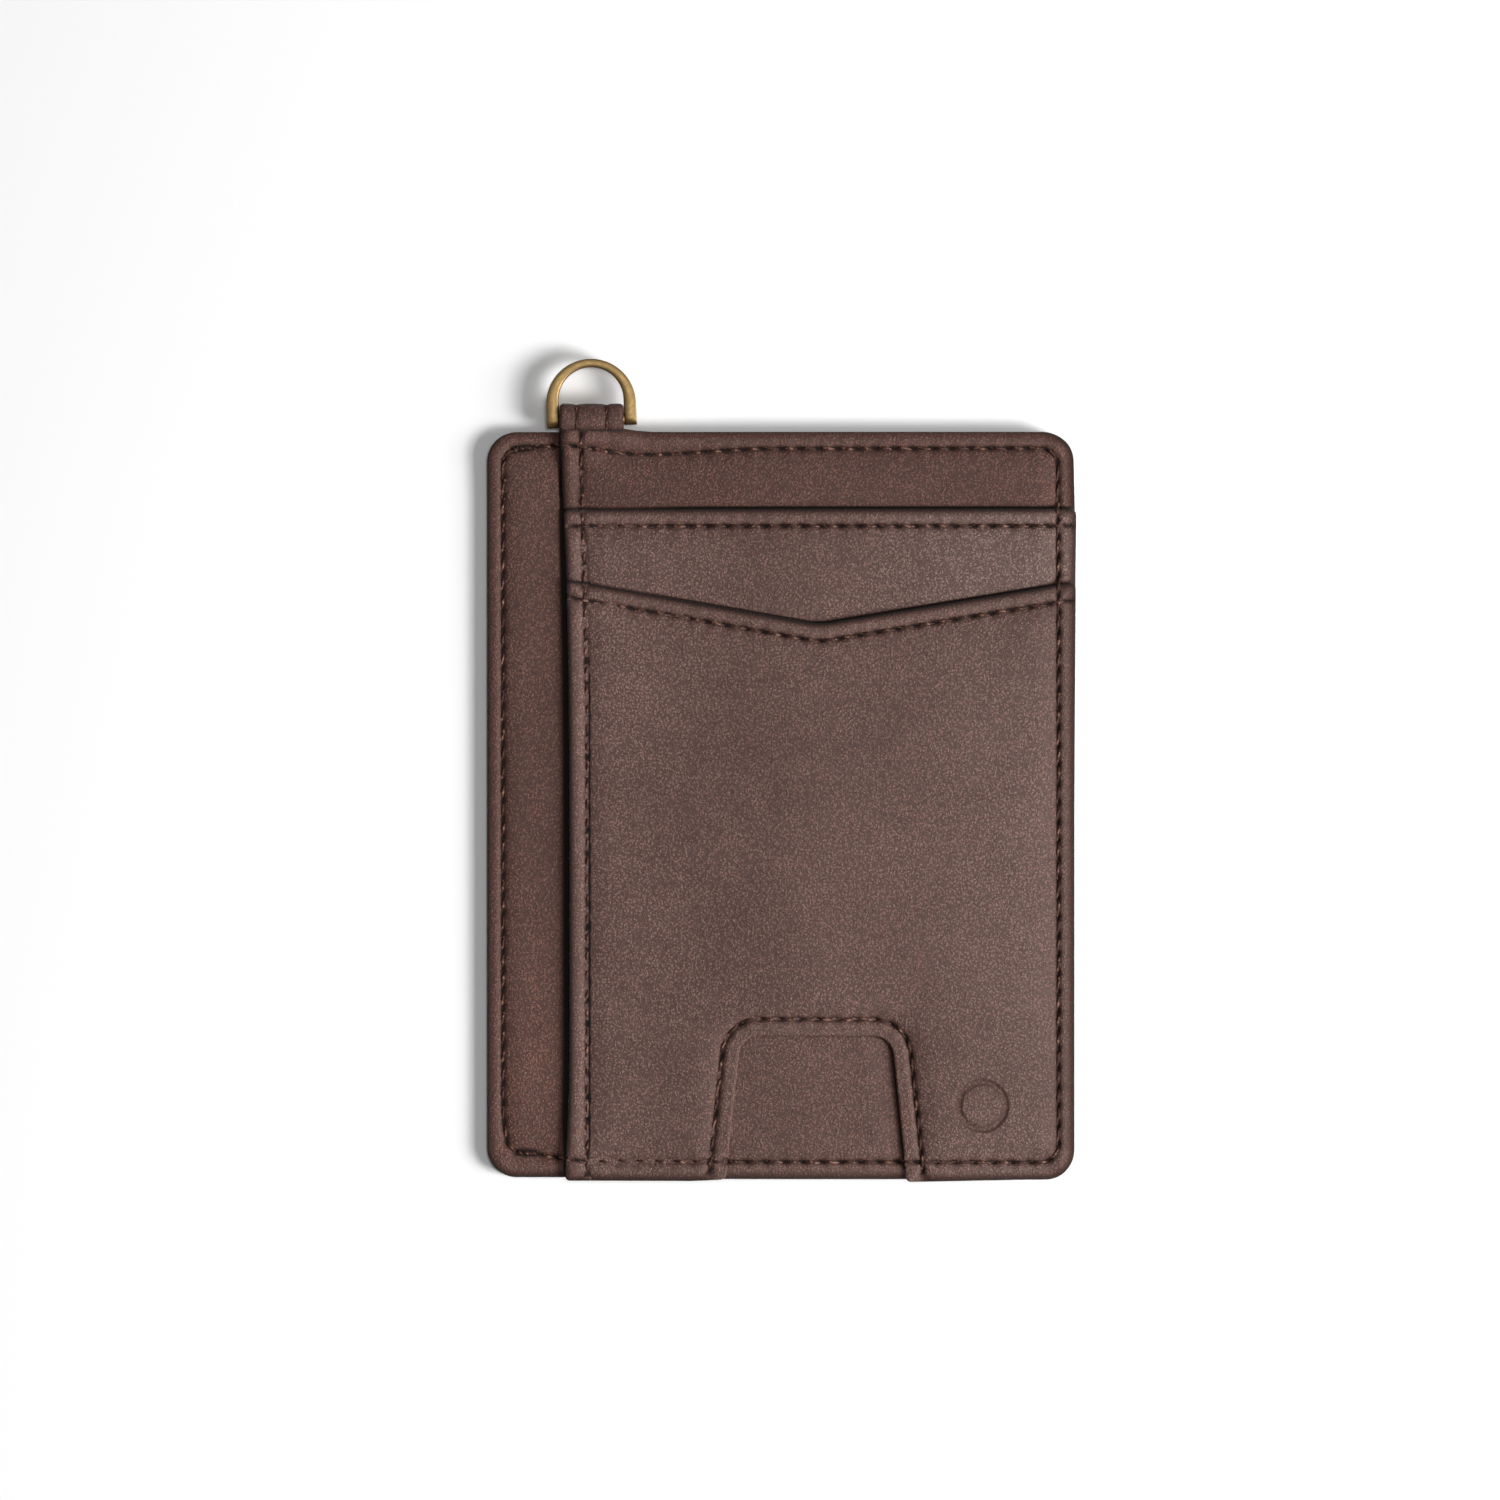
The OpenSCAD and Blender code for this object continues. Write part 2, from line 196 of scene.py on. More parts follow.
def turned_left(t):
    t = t / np.hypot(*t.T)[:, None]
    return np.stack([-t[:, 1], t[:, 0]], 1)


def normals_of(points, closed=True):
    """Unit vectors to the left of a line at each of its points."""
    if closed:
        return turned_left(np.roll(points, -1, axis=0) - np.roll(points, 1, axis=0))
    return turned_left(np.gradient(points, axis=0))


def hexagons(low, high, step):
    """Points in staggered rows."""
    rows = np.arange(low[1], high[1], step * 0.866)
    cols = np.arange(low[0], high[0], step)
    return np.vstack([
        np.stack([cols + (step / 2 if i % 2 else 0), np.full(len(cols), y)], 1) for i, y in enumerate(rows)])


def spread(groups):
    """Joins (points, gap) groups, dropping a point that is closer than its gap to one kept before it."""
    cell, kept, out = 0.45, {}, []  # the cell is larger than any gap
    for points, gap in groups:
        for x, y in points.tolist():
            cx, cy = math.floor(x / cell), math.floor(y / cell)
            if gap and any(
                (px - x) ** 2 + (py - y) ** 2 < gap * gap
                for i in (cx - 1, cx, cx + 1)
                for j in (cy - 1, cy, cy + 1)
                for px, py in kept.get((i, j), ())
            ):
                continue
            kept.setdefault((cx, cy), []).append((x, y))
            out.append((x, y))
    return np.array(out)


def triangulate(points, counts, loops):
    """Triangles over the points. The first points are the loops' own, counts of them each."""
    edges, start = [], 0
    for n in counts:
        edges += [(start + i, start + (i + 1) % n) for i in range(n)]
        start += n
    made = geometry.delaunay_2d_cdt([Vector(p) for p in points], edges, [], 0, 1e-7)
    order = np.array([o[0] for o in made[3]])
    tris = order[np.array(made[2])]
    a, b, c = points[tris[:, 0]], points[tris[:, 1]], points[tris[:, 2]]
    area = (b[:, 0] - a[:, 0]) * (c[:, 1] - a[:, 1]) - (b[:, 1] - a[:, 1]) * (c[:, 0] - a[:, 0])
    tris[area < 0] = tris[area < 0][:, ::-1]
    return tris[inside((a + b + c) / 3, loops) & (abs(area) > 1e-7)]


# ---- outlines

FRONT_SMALL = 0.5
BOW_Y = [-45.4, -42, -36, -30, -15, 5, 15, 25, 33, 41, 45.9]
BOW_X = [0.0, 0.12, 0.42, 0.5, 0.5, 0.48, 0.4, 0.22, -0.05, -0.45, -0.62]
RIGHT_Y, RIGHT_X = [-42, 0, 10, 20, 28, 35], [-0.1, -0.1, -0.05, 0.02, 0.07, 0.16]
FOOT_X, FOOT_DROP = [-8, -7, 14.9, 15.1, 30], [0.22, 0, 0, 0.3, 0]
TAB_RISE = 0.72


def bow(line):
    """The free left edge isn't straight: it bows in low down and out at the top. The right one leans out."""
    out = np.array(line, float)
    x, y = out.T
    weight = 1 - smooth(PANEL_LEFT, PANEL_LEFT + 2.4, x)
    out[:, 0] += weight * np.interp(y, BOW_Y, BOW_X) + smooth(33, 35, x) * np.interp(y, RIGHT_Y, RIGHT_X)
    return out


def over_tab(points):
    """How far the front panel rides up over the tab's tail, from 0 to 1."""
    x, y = points.T
    return (1 - smooth(-25.5, -16, x)) * smooth(36, 45, y)


def panel_outline():
    line = bow(subdivide(fillet([
        (PANEL_LEFT, BOTTOM, FRONT_SMALL), (STEP_RIGHT, BOTTOM, CORNER),
        (STEP_RIGHT, 36, 0), (35.3, TOP, CORNER), (PANEL_LEFT, TOP, 0.9),
    ]), 2.0))
    line[:, 1] += TAB_RISE * (1 - smooth(-22.5, -15.5, line[:, 0])) * smooth(44, 45.3, line[:, 1])
    return line


def upper_outline():
    corners = rounded_box(PANEL_LEFT, RIGHT, BOTTOM, UPPER_MOUTH, (FRONT_SMALL, CORNER, 0.7, 0.7))
    return bow(subdivide(fillet(corners)))


def notch_corners(grow, foot):
    """The notch from its right foot over the top to its left foot, as corners."""
    side = math.hypot(1, NOTCH_LEAN)
    top = NOTCH_TOP + grow
    half_top = NOTCH_HALF_TOP + grow * side - grow * NOTCH_LEAN
    half_foot = half_top + (top - foot) * NOTCH_LEAN
    r = NOTCH_R + grow
    return [
        (NOTCH_X + half_foot, foot), (NOTCH_X + half_top, top, r),
        (NOTCH_X - half_top, top, r), (NOTCH_X - half_foot, foot),
    ]


def mouth_y(x, drop=0.0):
    low_x, low_y = MOUTH_LOW
    left = (MOUTH_LEFT - low_y) / (low_x - PANEL_LEFT)
    right = (MOUTH_RIGHT - low_y) / (RIGHT - low_x)
    return low_y - drop + (left * (low_x - x) if x < low_x else right * (x - low_x))


def lower_outline():
    """The lower pocket, whose feet beside the notch reach a little lower than its edge."""
    right_foot, right_top, left_top, left_foot = notch_corners(0, BOTTOM)
    line = bow(subdivide(fillet([
        (PANEL_LEFT, BOTTOM, FRONT_SMALL), (*left_foot, 0.5), left_top, right_top, (*right_foot, 0.5),
        (RIGHT, BOTTOM, CORNER), (RIGHT, MOUTH_RIGHT, 0.6), (*MOUTH_LOW, 9.0), (PANEL_LEFT, MOUTH_LEFT, 0.6),
    ])))
    line[:, 1] -= (1 - smooth(-45, -43, line[:, 1])) * np.interp(line[:, 0], FOOT_X, FOOT_DROP)
    return line


def back_outline(inset=0.0):
    return subdivide(fillet(rounded_box(
        LEFT + inset, STEP_RIGHT - inset, BACK_BOTTOM + inset, TOP - inset, [CORNER - inset] * 4)), 6)


def finger_arc(drop):
    """The half-round finger notch in a mouth that is lowered by drop, from right to left."""
    r = FINGER_R + drop
    start = math.asin(-drop / r)
    at = np.linspace(start, -math.pi - start, 24)
    return [(r * math.cos(a), BACK_MOUTH + r * math.sin(a), 0) for a in at]


def back_pocket_outline():
    return subdivide(fillet([
        (LEFT, BACK_BOTTOM, CORNER), (STEP_RIGHT, BACK_BOTTOM, CORNER), (STEP_RIGHT, BACK_MOUTH, 0.6),
        *finger_arc(0.0), (LEFT, BACK_MOUTH, 0.6),
    ]), 6)


def window_outline(grow=0.0):
    left, right, bottom, top = WINDOW
    return fillet(rounded_box(left - grow, right + grow, bottom - grow, top + grow, [WINDOW_R + grow] * 4))


PANEL, UPPER, LOWER = panel_outline(), upper_outline(), lower_outline()
deep_right, deep_right_top, deep_left_top, deep_left = notch_corners(0, BOTTOM - 8)
NOTCH = fillet([(*deep_right, 0), deep_right_top, deep_left_top, (*deep_left, 0)])

# ---- rows of stitches

ROWS = {}


def add_row(name, line, closed=False, margin=0.7):
    """A row has holes at even steps, start + k * pitch along its line."""
    length = lengths_along(line, closed)[1][-1]
    count = round((length - (0 if closed else 2 * margin)) / PITCH)
    pitch = (length if closed else length - 2 * margin) / count
    ROWS[name] = {
        "line": line, "closed": closed, "length": length, "pitch": pitch,
        "start": 0 if closed else margin, "count": count,
    }


def perimeter_line():
    left, right, bottom, top = LEFT + 1.9, RIGHT - 2.1, BOTTOM + 2.15, TOP - 1.95
    foot = [(-33.8, -38.5), (-33.4, -41.2), (-32.3, -42.2), (-30.2, -42.3), (-26.5, -43.0)]
    sag = [(-3, 43.38), (-8, 43.1), (-13, 42.72), (-17, 42.62), (-20.2, 42.9), (-23, 43.4), (-26, 43.78), (-29, 43.7)]
    return fillet([
        (left, 43.2, 1.9), (left, -36, 4), *[(x, y, 1.0) for x, y in foot], (-22, bottom, 4),
        (right, bottom, 2.2), (right, top, 2.2), *[(x, y, 4) for x, y in sag],
    ])


add_row("perimeter", perimeter_line(), closed=True)
add_row("panel", np.array([
    [-23.6, BOTTOM + 0.2], [-23.6, 12], [-23.85, 21], [-23.95, 28], [-24.25, 37], [-24.4, TOP + 0.2],
]), margin=0.3)
add_row("upper_mouth", np.array([[PANEL_LEFT + 0.4, UPPER_MOUTH - INSET], [RIGHT - 0.3, UPPER_MOUTH - INSET]]))
add_row("lower_mouth", fillet([
    (PANEL_LEFT + 0.4, mouth_y(PANEL_LEFT + 0.4, INSET), 0), (MOUTH_LOW[0], MOUTH_LOW[1] - INSET, 7.0),
    (RIGHT - 0.3, mouth_y(RIGHT - 0.3, INSET), 0),
], closed=False))
row_feet = notch_corners(INSET, BOTTOM + 0.3)
add_row("notch", fillet([(*row_feet[3], 0), row_feet[2], row_feet[1], (*row_feet[0], 0)], closed=False))
add_row("window", window_outline(INSET), closed=True)
add_row("back_mouth", fillet([
    (STEP_RIGHT - 0.4, BACK_MOUTH - INSET, 0), *finger_arc(INSET), (LEFT + 0.4, BACK_MOUTH - INSET, 0),
], closed=False))

# A seam presses the leather in by a narrow groove in a wide dip, with a pit at each hole.
GROOVE, DIP, PIT = 0.17, 0.22, 0.45
GROOVE_W, DIP_W, PIT_W, PIT_L = 0.27, 1.4, 0.31, 0.64
TACKS = [nearest(np.array([spot]), ROWS["perimeter"]["line"])[1][0] for spot in ((-31.6, 43.4), (-31.1, -42.3))]


def seam_relief(points, names):
    """How far the seams press the leather in, and the painted shade in their grooves, stitch pits and back-tacks."""
    pressed, pucker, dark = np.zeros((3, len(points)))
    for name in names:
        row = ROWS[name]
        ds, s, side = nearest(points, row["line"], row["closed"])
        k = (s - row["start"]) / row["pitch"]
        off = (k - np.round(k)) * row["pitch"] + 0.6 * side * ds
        pit = bell(off, PIT_L) * bell(ds, PIT_W)
        groove = bell(ds, GROOVE_W)
        pressed = np.maximum(pressed, GROOVE * groove + DIP * bell(ds, DIP_W) + PIT * pit)
        pucker += 0.04 * np.cos(2 * math.pi * k) * bell(ds - 0.9, 0.45)
        # Painted shade in the stitch pits and along the groove.
        dark = np.maximum(dark, np.maximum(np.minimum(1.6 * pit, 1), 0.8 * groove))
        # Painted shade over the back-tack clusters.
        if name == "perimeter":
            for tack in TACKS:
                away = abs((s - tack + row["length"] / 2) % row["length"] - row["length"] / 2)
                dark = np.maximum(dark, 0.97 * (1 - smooth(1.1, 1.7, away)) * (1 - smooth(0.42, 0.68, ds)))
    return -pressed - pucker, dark


# ---- shape of the stack


def rim_distance(x, y):
    return np.minimum(np.minimum(x - LEFT, STEP_RIGHT + 0.1 - x), np.minimum(y - BOTTOM, TOP - y))


def settle(points, z, front):
    """Where a flat level of the stack lies once the seams press its edges together."""
    x, y = points.T
    tab = over_tab(points)
    squeeze = 1 - 0.12 * bell(np.maximum(rim_distance(x, y), 0), 2.4) * (1 - tab)
    if not front:
        return z * squeeze
    edge = 0.34 + 0.66 * smooth(0.5, 32, x - PANEL_LEFT)
    edge = np.maximum(edge, 0.7 * tab)
    return (STRIP_TOP + (z - STRIP_TOP) * edge) * squeeze


def waves(points, seed, size):
    """Soft unevenness of lying leather, as a few crossing waves."""
    rng = np.random.default_rng(seed)
    out = np.zeros(len(points))
    for _ in range(7):
        angle, length, phase = rng.uniform(0, math.pi), rng.uniform(11, 30), rng.uniform(0, 6.3)
        out += np.sin((points @ [math.cos(angle), math.sin(angle)]) * 2 * math.pi / length + phase)
    return size * out / 7


# ---- meshes


def to_mesh(name, verts, faces, attributes=None):
    """verts in mm from the middle of the body, z up from the table."""
    verts = np.array(verts, float)
    verts[:, 1] += SHIFT_Y
    mesh = bpy.data.meshes.new(name)
    mesh.from_pydata((verts * MM).tolist(), [], [list(map(int, f)) for f in faces])
    for key, values in (attributes or {}).items():
        values = np.asarray(values, float)
        if values.ndim == 2:
            rgba = np.column_stack([values, np.ones(len(values))])
            mesh.attributes.new(key, "FLOAT_COLOR", "POINT").data.foreach_set("color", rgba.ravel())
        else:
            mesh.attributes.new(key, "FLOAT", "POINT").data.foreach_set("value", values)
    mesh.shade_smooth()
    mesh.validate()
    mesh.update()
    obj = bpy.data.objects.new(name, mesh)
    bpy.context.scene.collection.objects.link(obj)
    return obj


ROW_OFFSETS = (0, -0.15, 0.15, -0.32, 0.32, -0.55, 0.55, -0.85, 0.85, -1.2, 1.2)
BEAD_IN = 1.3


def make_sheet(name, loops, outer, inner, rows=(), seen=None, step=0.6, fold=FOLD, relief=None,
               tint=(1, 1, 1), extra=(), crisp=None):
    """A closed sheet with rounded edges. outer(points, d) and inner(points, d) are its two faces' heights, d mm
    inside its edge; outer is the face with the detail, above inner or below it. Its mesh is fine where seen(points)
    is true, and follows its rows and the extra lines. Where crisp(points) is 1 the edge is sharper."""
    rings = [resample(loop, EDGE_STEP if rows else 1.0) for loop in loops]
    counts = [len(r) for r in rings]
    boundary = np.vstack(rings)
    inward = []
    for ring in rings:
        n = normals_of(ring)
        flip = inside(ring + 0.05 * n, loops).mean() < 0.5
        inward.append(-n if flip else n)
    inward = np.vstack(inward)

    def fold_rings(angles):
        for angle in angles:
            d = fold * (1 - math.cos(math.radians(angle)))
            p = boundary + inward * d
            keep = inside(p, loops)
            p = p[keep]
            yield p[edge_distance(p, loops) > 0.93 * d], 0.5 * EDGE_STEP * min(1, d / fold + 0.3)

    low, high = boundary.min(0), boundary.max(0)
    groups = [(boundary, 0.0)]
    groups += [(p, gap) for p, gap in fold_rings((12, 26, 42, 58, 74, 90) if rows else (45, 90))]
    for row_name in rows:
        row = ROWS[row_name]
        line = resample(row["line"], 0.28, row["closed"])
        n = normals_of(line, row["closed"])
        for off in ROW_OFFSETS:
            p = line + n * off
            p = p[inside(p, loops)]
            if seen is not None:
                p = p[seen(p)]
            groups.append((p[edge_distance(p, loops) > fold * 1.05], 0.13 if abs(off) < 0.4 else 0.2))
    for line in extra:
        line = line[inside(line, loops)]
        groups.append((line[edge_distance(line, loops) > fold * 1.05], 0.12))
    fixed = spread(groups)

    def grid(size, mask, away):
        p = hexagons(low, high, size)
        p = p[inside(p, loops)]
        p = p[edge_distance(p, loops) > fold + 0.3 * size]
        if mask is not None:
            p = p[mask(p)]
        for row_name in away:
            p = p[nearest(p, ROWS[row_name]["line"], ROWS[row_name]["closed"])[0] > 1.2 + 0.4 * size]
        return p

    grids = [grid(step, seen, rows)]
    if seen is not None:
        grids.append(grid(2.2, lambda q: ~seen(q), ()))
    points = spread([(fixed, 0.0), *[(p, 0.3) for p in grids if len(p)]])
    top_faces = triangulate(points, counts, loops)

    under = spread([(boundary, 0.0), *[(p, 0.25) for p, _ in fold_rings((35, 65, 90))], (grid(1.7, None, ()), 0.4)])
    under_faces = triangulate(under, counts, loops)

    def heights(p, face, other):
        d = edge_distance(p, loops)
        near = face(p, d)
        middle = (near + other(p, d)) / 2
        reach = fold if crisp is None else fold * (1 - 0.65 * crisp(p))
        k = np.sqrt(1 - (1 - np.clip(d / reach, 0, 1)) ** 2)
        return middle, near, k, d

    middle, near, k, d = heights(points, outer, inner)
    up = 1 if near.mean() > middle.mean() else -1
    press, dark = seam_relief(points, rows) if rows else np.zeros((2, len(points)))
    if relief is not None:
        more_press, more_dark = relief(points, d)
        press, dark = press + more_press, np.maximum(dark, more_dark)
    bead = 0.10 * bell(d - BEAD_IN, 0.5) if rows else 0
    room = 0.92 * abs(near - middle) * 2
    press = np.maximum(press + bead, -room)
    z = middle + (near - middle) * k + up * press * k
    if up < 0:
        z = np.maximum(z, 0)
    # Painted highlight on the bead crests beside the rows, kept off the painted shade.
    painted_highlight = bell(d - BEAD_IN, 0.4) * (1 - dark) if rows else np.zeros(len(points))
    x, y = points.T
    # Painted shade on the rounded rims, strongest where they face outward at the right, bottom and left.
    free = smooth(0.6, 3.0, rim_distance(x, y))
    outward = np.max([
        smooth(30, 34, x), 1 - smooth(-44.5, -42, y), 0.7 * (1 - smooth(-35, -33, x)),
    ], axis=0) * (1 - free)
    rim_shade = (0.6 + 0.35 * free + 0.25 * outward) * (1 - smooth(0.0, 1.2 + 0.3 * outward, d))
    if crisp is not None:
        # A crisp edge gets little painted rim shade and a thin painted highlight instead.
        sharp = crisp(points)
        rim_shade *= 1 - 0.9 * sharp
        painted_highlight = np.maximum(painted_highlight, sharp * bell(d - 0.3, 0.25))
    dark = np.maximum(dark, rim_shade)

    u_middle, u_near, u_k, _ = heights(under, inner, outer)
    u_z = u_middle + (u_near - u_middle) * u_k
    n, first = len(boundary), len(points)
    renumber = np.concatenate([np.arange(n), np.arange(first, first + len(under) - n)])
    verts = np.vstack([np.column_stack([points, z]), np.column_stack([under, u_z])[n:]])
    faces = np.vstack([top_faces, renumber[under_faces][:, ::-1]])
    if up < 0:
        faces = faces[:, ::-1]
    plain = np.zeros(len(verts) - first)
    return to_mesh(name, verts, faces, {
        # Painted shade and the painted highlight ride on the mesh as point attributes.
        "painted_shade": np.concatenate([dark, plain]),
        "painted_highlight": np.concatenate([painted_highlight, plain]),
        "tint": tint(verts[:, :2]) if callable(tint) else np.tile(tint, (len(verts), 1)),
    })


LEATHER_T = 0.55


def hemmed(low, high):
    """The hidden face of front leather: as thick as its turned edge near the rim, and thinner inside it."""
    edge_t = high - low

    def face(p, d):
        t = edge_t + (LEATHER_T - edge_t) * smooth(HEM - 0.3, HEM + 0.6, d)
        return settle(p, high - t, True)

    return face


def flat_face(z, front, shape=None):
    def face(p, d):
        out = settle(p, z, front)
        return out if shape is None else out + shape(p, d)

    return face


# ---- leather of the front wall, from the back to the front

def band_seen(p):
    return (p[:, 1] > UPPER_MOUTH - 1.5) | (p[:, 0] < PANEL_LEFT + 1)


def upper_seen(p):
    over_v = p[:, 1] > np.array([mouth_y(x, 1.5) for x in p[:, 0]])
    in_notch = (abs(p[:, 0] - NOTCH_X) < 12.5) & (p[:, 1] < NOTCH_TOP + 1.5)
    return over_v | in_notch | (p[:, 0] < PANEL_LEFT + 1)


def strip_seen(p):
    return p[:, 0] < PANEL_LEFT + 2


def notch_depth(p):
    """How far inside the notch a point is, negative outside it."""
    d = nearest(p, NOTCH)[0]
    return np.where(inside(p, [NOTCH]), d, -d)


def band_shape(p, d):
    x, y = p.T
    puff = bell(x + 17, 5.5) * bell(y - 44.3, 1.0)
    on_tab = smooth(-27.8, -26.2, x) * (1 - smooth(-19.5, -16.5, x)) * smooth(41.5, 45.2, y)
    return waves(p, 3, 0.10) + 0.3 * over_tab(p) + 0.34 * puff + 0.5 * on_tab


def upper_shape(p, d):
    x, y = p.T
    held = smooth(0, 6, d)
    from_right = NOTCH_X + NOTCH_HALF_TOP + (NOTCH_TOP - y) * NOTCH_LEAN - x
    in_notch = 0.42 * smooth(-1.3, -0.3, notch_depth(p)) * smooth(-0.5, 3.5, from_right)
    return held * (waves(p, 5, 0.14) + 0.12 * smooth(20, 26, y)) + in_notch * smooth(0, 3, y - BOTTOM)


def lower_shape(p, d):
    held = smooth(0.5, 9, d)
    at_notch = -0.26 * bell(np.minimum(notch_depth(p), 0), 2.6)
    return held * (waves(p, 8, 0.22) + 0.22) + at_notch


def near_notch(p):
    return 1 - smooth(0.8, 2.5, nearest(p, NOTCH)[0])


def side_lines(line, offsets):
    """Lines beside an outline, where a mesh has to be fine."""
    line = resample(line, EDGE_STEP)
    return [line + normals_of(line) * off for off in offsets]


# Under the free edges the layer below sinks in, and a painted shadow on it draws the edge's line.
EDGE_DARK = 0.97


def under_panel(p, d):
    x, y = p.T
    far = nearest(p, PANEL)[0]
    width = 0.28 + 0.42 * (1 - smooth(28, 43, y)) * smooth(-44, -37, y)
    line = (1 - smooth(width - 0.15, width + 0.25, far)) * (x > PANEL_LEFT - 3) * (x < PANEL_LEFT + 3)
    return -0.15 * line, EDGE_DARK * line


def under_upper(p, d):
    line = (1 - smooth(0.14, 0.5, nearest(p, UPPER)[0])) * (p[:, 1] > UPPER_MOUTH - 1) * (p[:, 0] < RIGHT - 0.6)
    line *= 0.55 + 0.45 * smooth(-22, -8, p[:, 0])
    return -0.14 * line, EDGE_DARK * line


def under_lower(p, d):
    x, y = p.T
    far = nearest(p, LOWER)[0]
    # Painted shadow under the lower pocket's mouth.
    mouth = (1 - smooth(0.08, 0.3 + 0.14 * smooth(-15, 10, x), far)) * (y > 15) * (x < RIGHT - 0.6)
    share = np.where(x > NOTCH_X, 1.0, 0.04)
    share = np.where(y > NOTCH_TOP - 1.2, 0.28 + 0.4 * smooth(NOTCH_X + 5, NOTCH_X + 9, x), share)
    # Painted shadow along the notch's edges, strongest at its right.
    notch = (1 - smooth(0.08, 0.38, far)) * share * (y < 0) * (y > BOTTOM + 1.2)
    line = mouth * (0.6 + 0.4 * smooth(-22, -8, x)) + notch
    return -0.12 * line, EDGE_DARK * line


def emblem_relief(p, d):
    r = np.hypot(p[:, 0] - EMBLEM[0], p[:, 1] - EMBLEM[1])
    line = smooth(2.38, 2.62, r) * (1 - smooth(3.08, 3.32, r))
    # The debossed ring is darkened a little, with painted shade on its two walls.
    return -0.15 * line, 0.15 * line + 0.5 * (bell(r - 2.5, 0.16) + bell(r - 3.2, 0.16))


def emblem_circles(radii):
    out = []
    for r in radii:
        a = np.arange(0, 2 * math.pi, 0.22 / r)
        out.append(np.stack([EMBLEM[0] + r * np.cos(a), EMBLEM[1] + r * np.sin(a)], 1))
    return out


def upper_painted_light(p):
    """Painted light: paler and greyer at the left and towards the upper right, and darker in the notch as painted
    shade.
    """
    left = 1 - smooth(-24, 4, p[:, 0])
    right = smooth(6, 27, p[:, 0]) * smooth(15, 25, p[:, 1])
    right *= 1 - 0.5 * smooth(31, 33.5, p[:, 0])
    out = (1.02, 1.05, 1.08) + np.outer(left, (0.32, 0.46, 0.58)) + np.outer(right, (0.38, 0.75, 0.96))
    return out - np.outer(p[:, 1] < NOTCH_TOP + 1, (0.05, 0.12, 0.15))


def lower_painted_light(p):
    """Painted light: paler at the left and a little at the right, and darker on the right rim as painted shade."""
    left = 1 - smooth(-24, 4, p[:, 0])
    right = smooth(12, 30, p[:, 0]) * (1 - smooth(30.5, 33, p[:, 0]))
    rim = smooth(31, 33.5, p[:, 0])
    out = (1.04, 1.06, 1.09) + np.outer(left, (0.27, 0.38, 0.46)) + np.outer(right, (0.08, 0.18, 0.22))
    return out - np.outer(rim, (0.2, 0.22, 0.22))


def front_sheet(node, loop, low, high, shape, rows, **options):
    return make_sheet(node + "_leather", [loop], flat_face(high, True, shape), hemmed(low, high),
                      rows=("perimeter", "panel", *rows), **options)


front_panel = front_sheet(
    "front_panel", PANEL, BAND_TOP - 0.75, BAND_TOP, band_shape, (), seen=band_seen, relief=under_upper,
    extra=[q[q[:, 1] > 30] for q in side_lines(UPPER, (-0.2, 0, 0.2, 0.4, -0.4))], tint=(0.87, 0.74, 0.70))
upper_pocket = front_sheet(
    "upper_pocket", UPPER, levels("upper_pocket")[0], UPPER_TOP, upper_shape, ("upper_mouth",), seen=upper_seen,
    relief=under_lower, extra=side_lines(LOWER, (-0.15, 0.02, 0.2, 0.4, -0.35)), tint=upper_painted_light)
lower_pocket = front_sheet(
    "lower_pocket", LOWER, levels("lower_pocket")[0] + 0.1, LOWER_TOP, lower_shape, ("lower_mouth", "notch"),
    relief=emblem_relief, extra=emblem_circles((2.2, 2.4, 2.5, 2.62, 2.85, 3.08, 3.2, 3.32, 3.5)),
    crisp=near_notch, tint=lower_painted_light)

# ---- leather of the back wall

inner_low, inner_high = levels("inner_panel")
back_low, back_high = levels("back_panel")
pocket_high = levels("back_pocket")[1]
BACK = back_outline()


def inner_shape(p, d):
    return smooth(0, 5, d) * waves(p, 11, 0.10)


def pocket_face(p, d):
    return np.maximum(0.0, 0.04 + smooth(0, 4, d) * waves(p, 17, 0.04))


inner_panel = make_sheet(
    "inner_panel_leather", [BACK], flat_face(inner_high, False, inner_shape), flat_face(inner_low, False),
    rows=("perimeter",), seen=strip_seen, relief=under_panel,
    extra=[q[q[:, 0] < -20] for q in side_lines(PANEL, (-0.9, -0.7, -0.5, -0.3, -0.1, 0.1, 0.3, 0.5, 0.7, 0.9))],
    # The strip's tint darkens it all over as painted shade, and lightens it towards the bottom.
    tint=lambda p: np.outer(1 + 0.2 * (1 - smooth(-38, 10, p[:, 1])), (0.92, 0.80, 0.75)))
back_panel = make_sheet(
    "back_panel_leather", [BACK], flat_face(back_low, False, lambda p, d: -smooth(0, 5, d) * waves(p, 13, 0.06)),
    flat_face(back_high, False), rows=("perimeter",), seen=lambda p: p[:, 1] > BACK_MOUTH - FINGER_R - 2,
    step=0.9, tint=(0.92, 0.88, 0.86))
back_pocket = make_sheet(
    "back_pocket_leather", [back_pocket_outline(), window_outline()], pocket_face,
    lambda p, d: settle(p, pocket_high + (LEATHER_T - pocket_high) * smooth(2.3, 3.2, d), False),
    rows=("perimeter", "window", "back_mouth"), step=0.8)

# ---- linings, shields and film


UNDER_HEM, UNDER_LINING = 2.9, 3.1


def thin_layer(node, kind, loop, front=True, ripple=0.03, seed=1):
    """A lining, a foil or the film, waved as a whole."""
    low, high = levels(node)

    def wave(p, d):
        return waves(p, seed, ripple)

    return make_sheet(f"{node}_{kind}", [loop], flat_face(high, front, wave), flat_face(low, front, wave),
                      fold=(high - low) / 2, step=2.0)


def inner_outline(right, top, inset=UNDER_HEM):
    return subdivide(fillet(rounded_box(
        PANEL_LEFT + inset, right - inset, BOTTOM + inset, top - inset, (0.4, 1.0, 1.0, 0.4))))


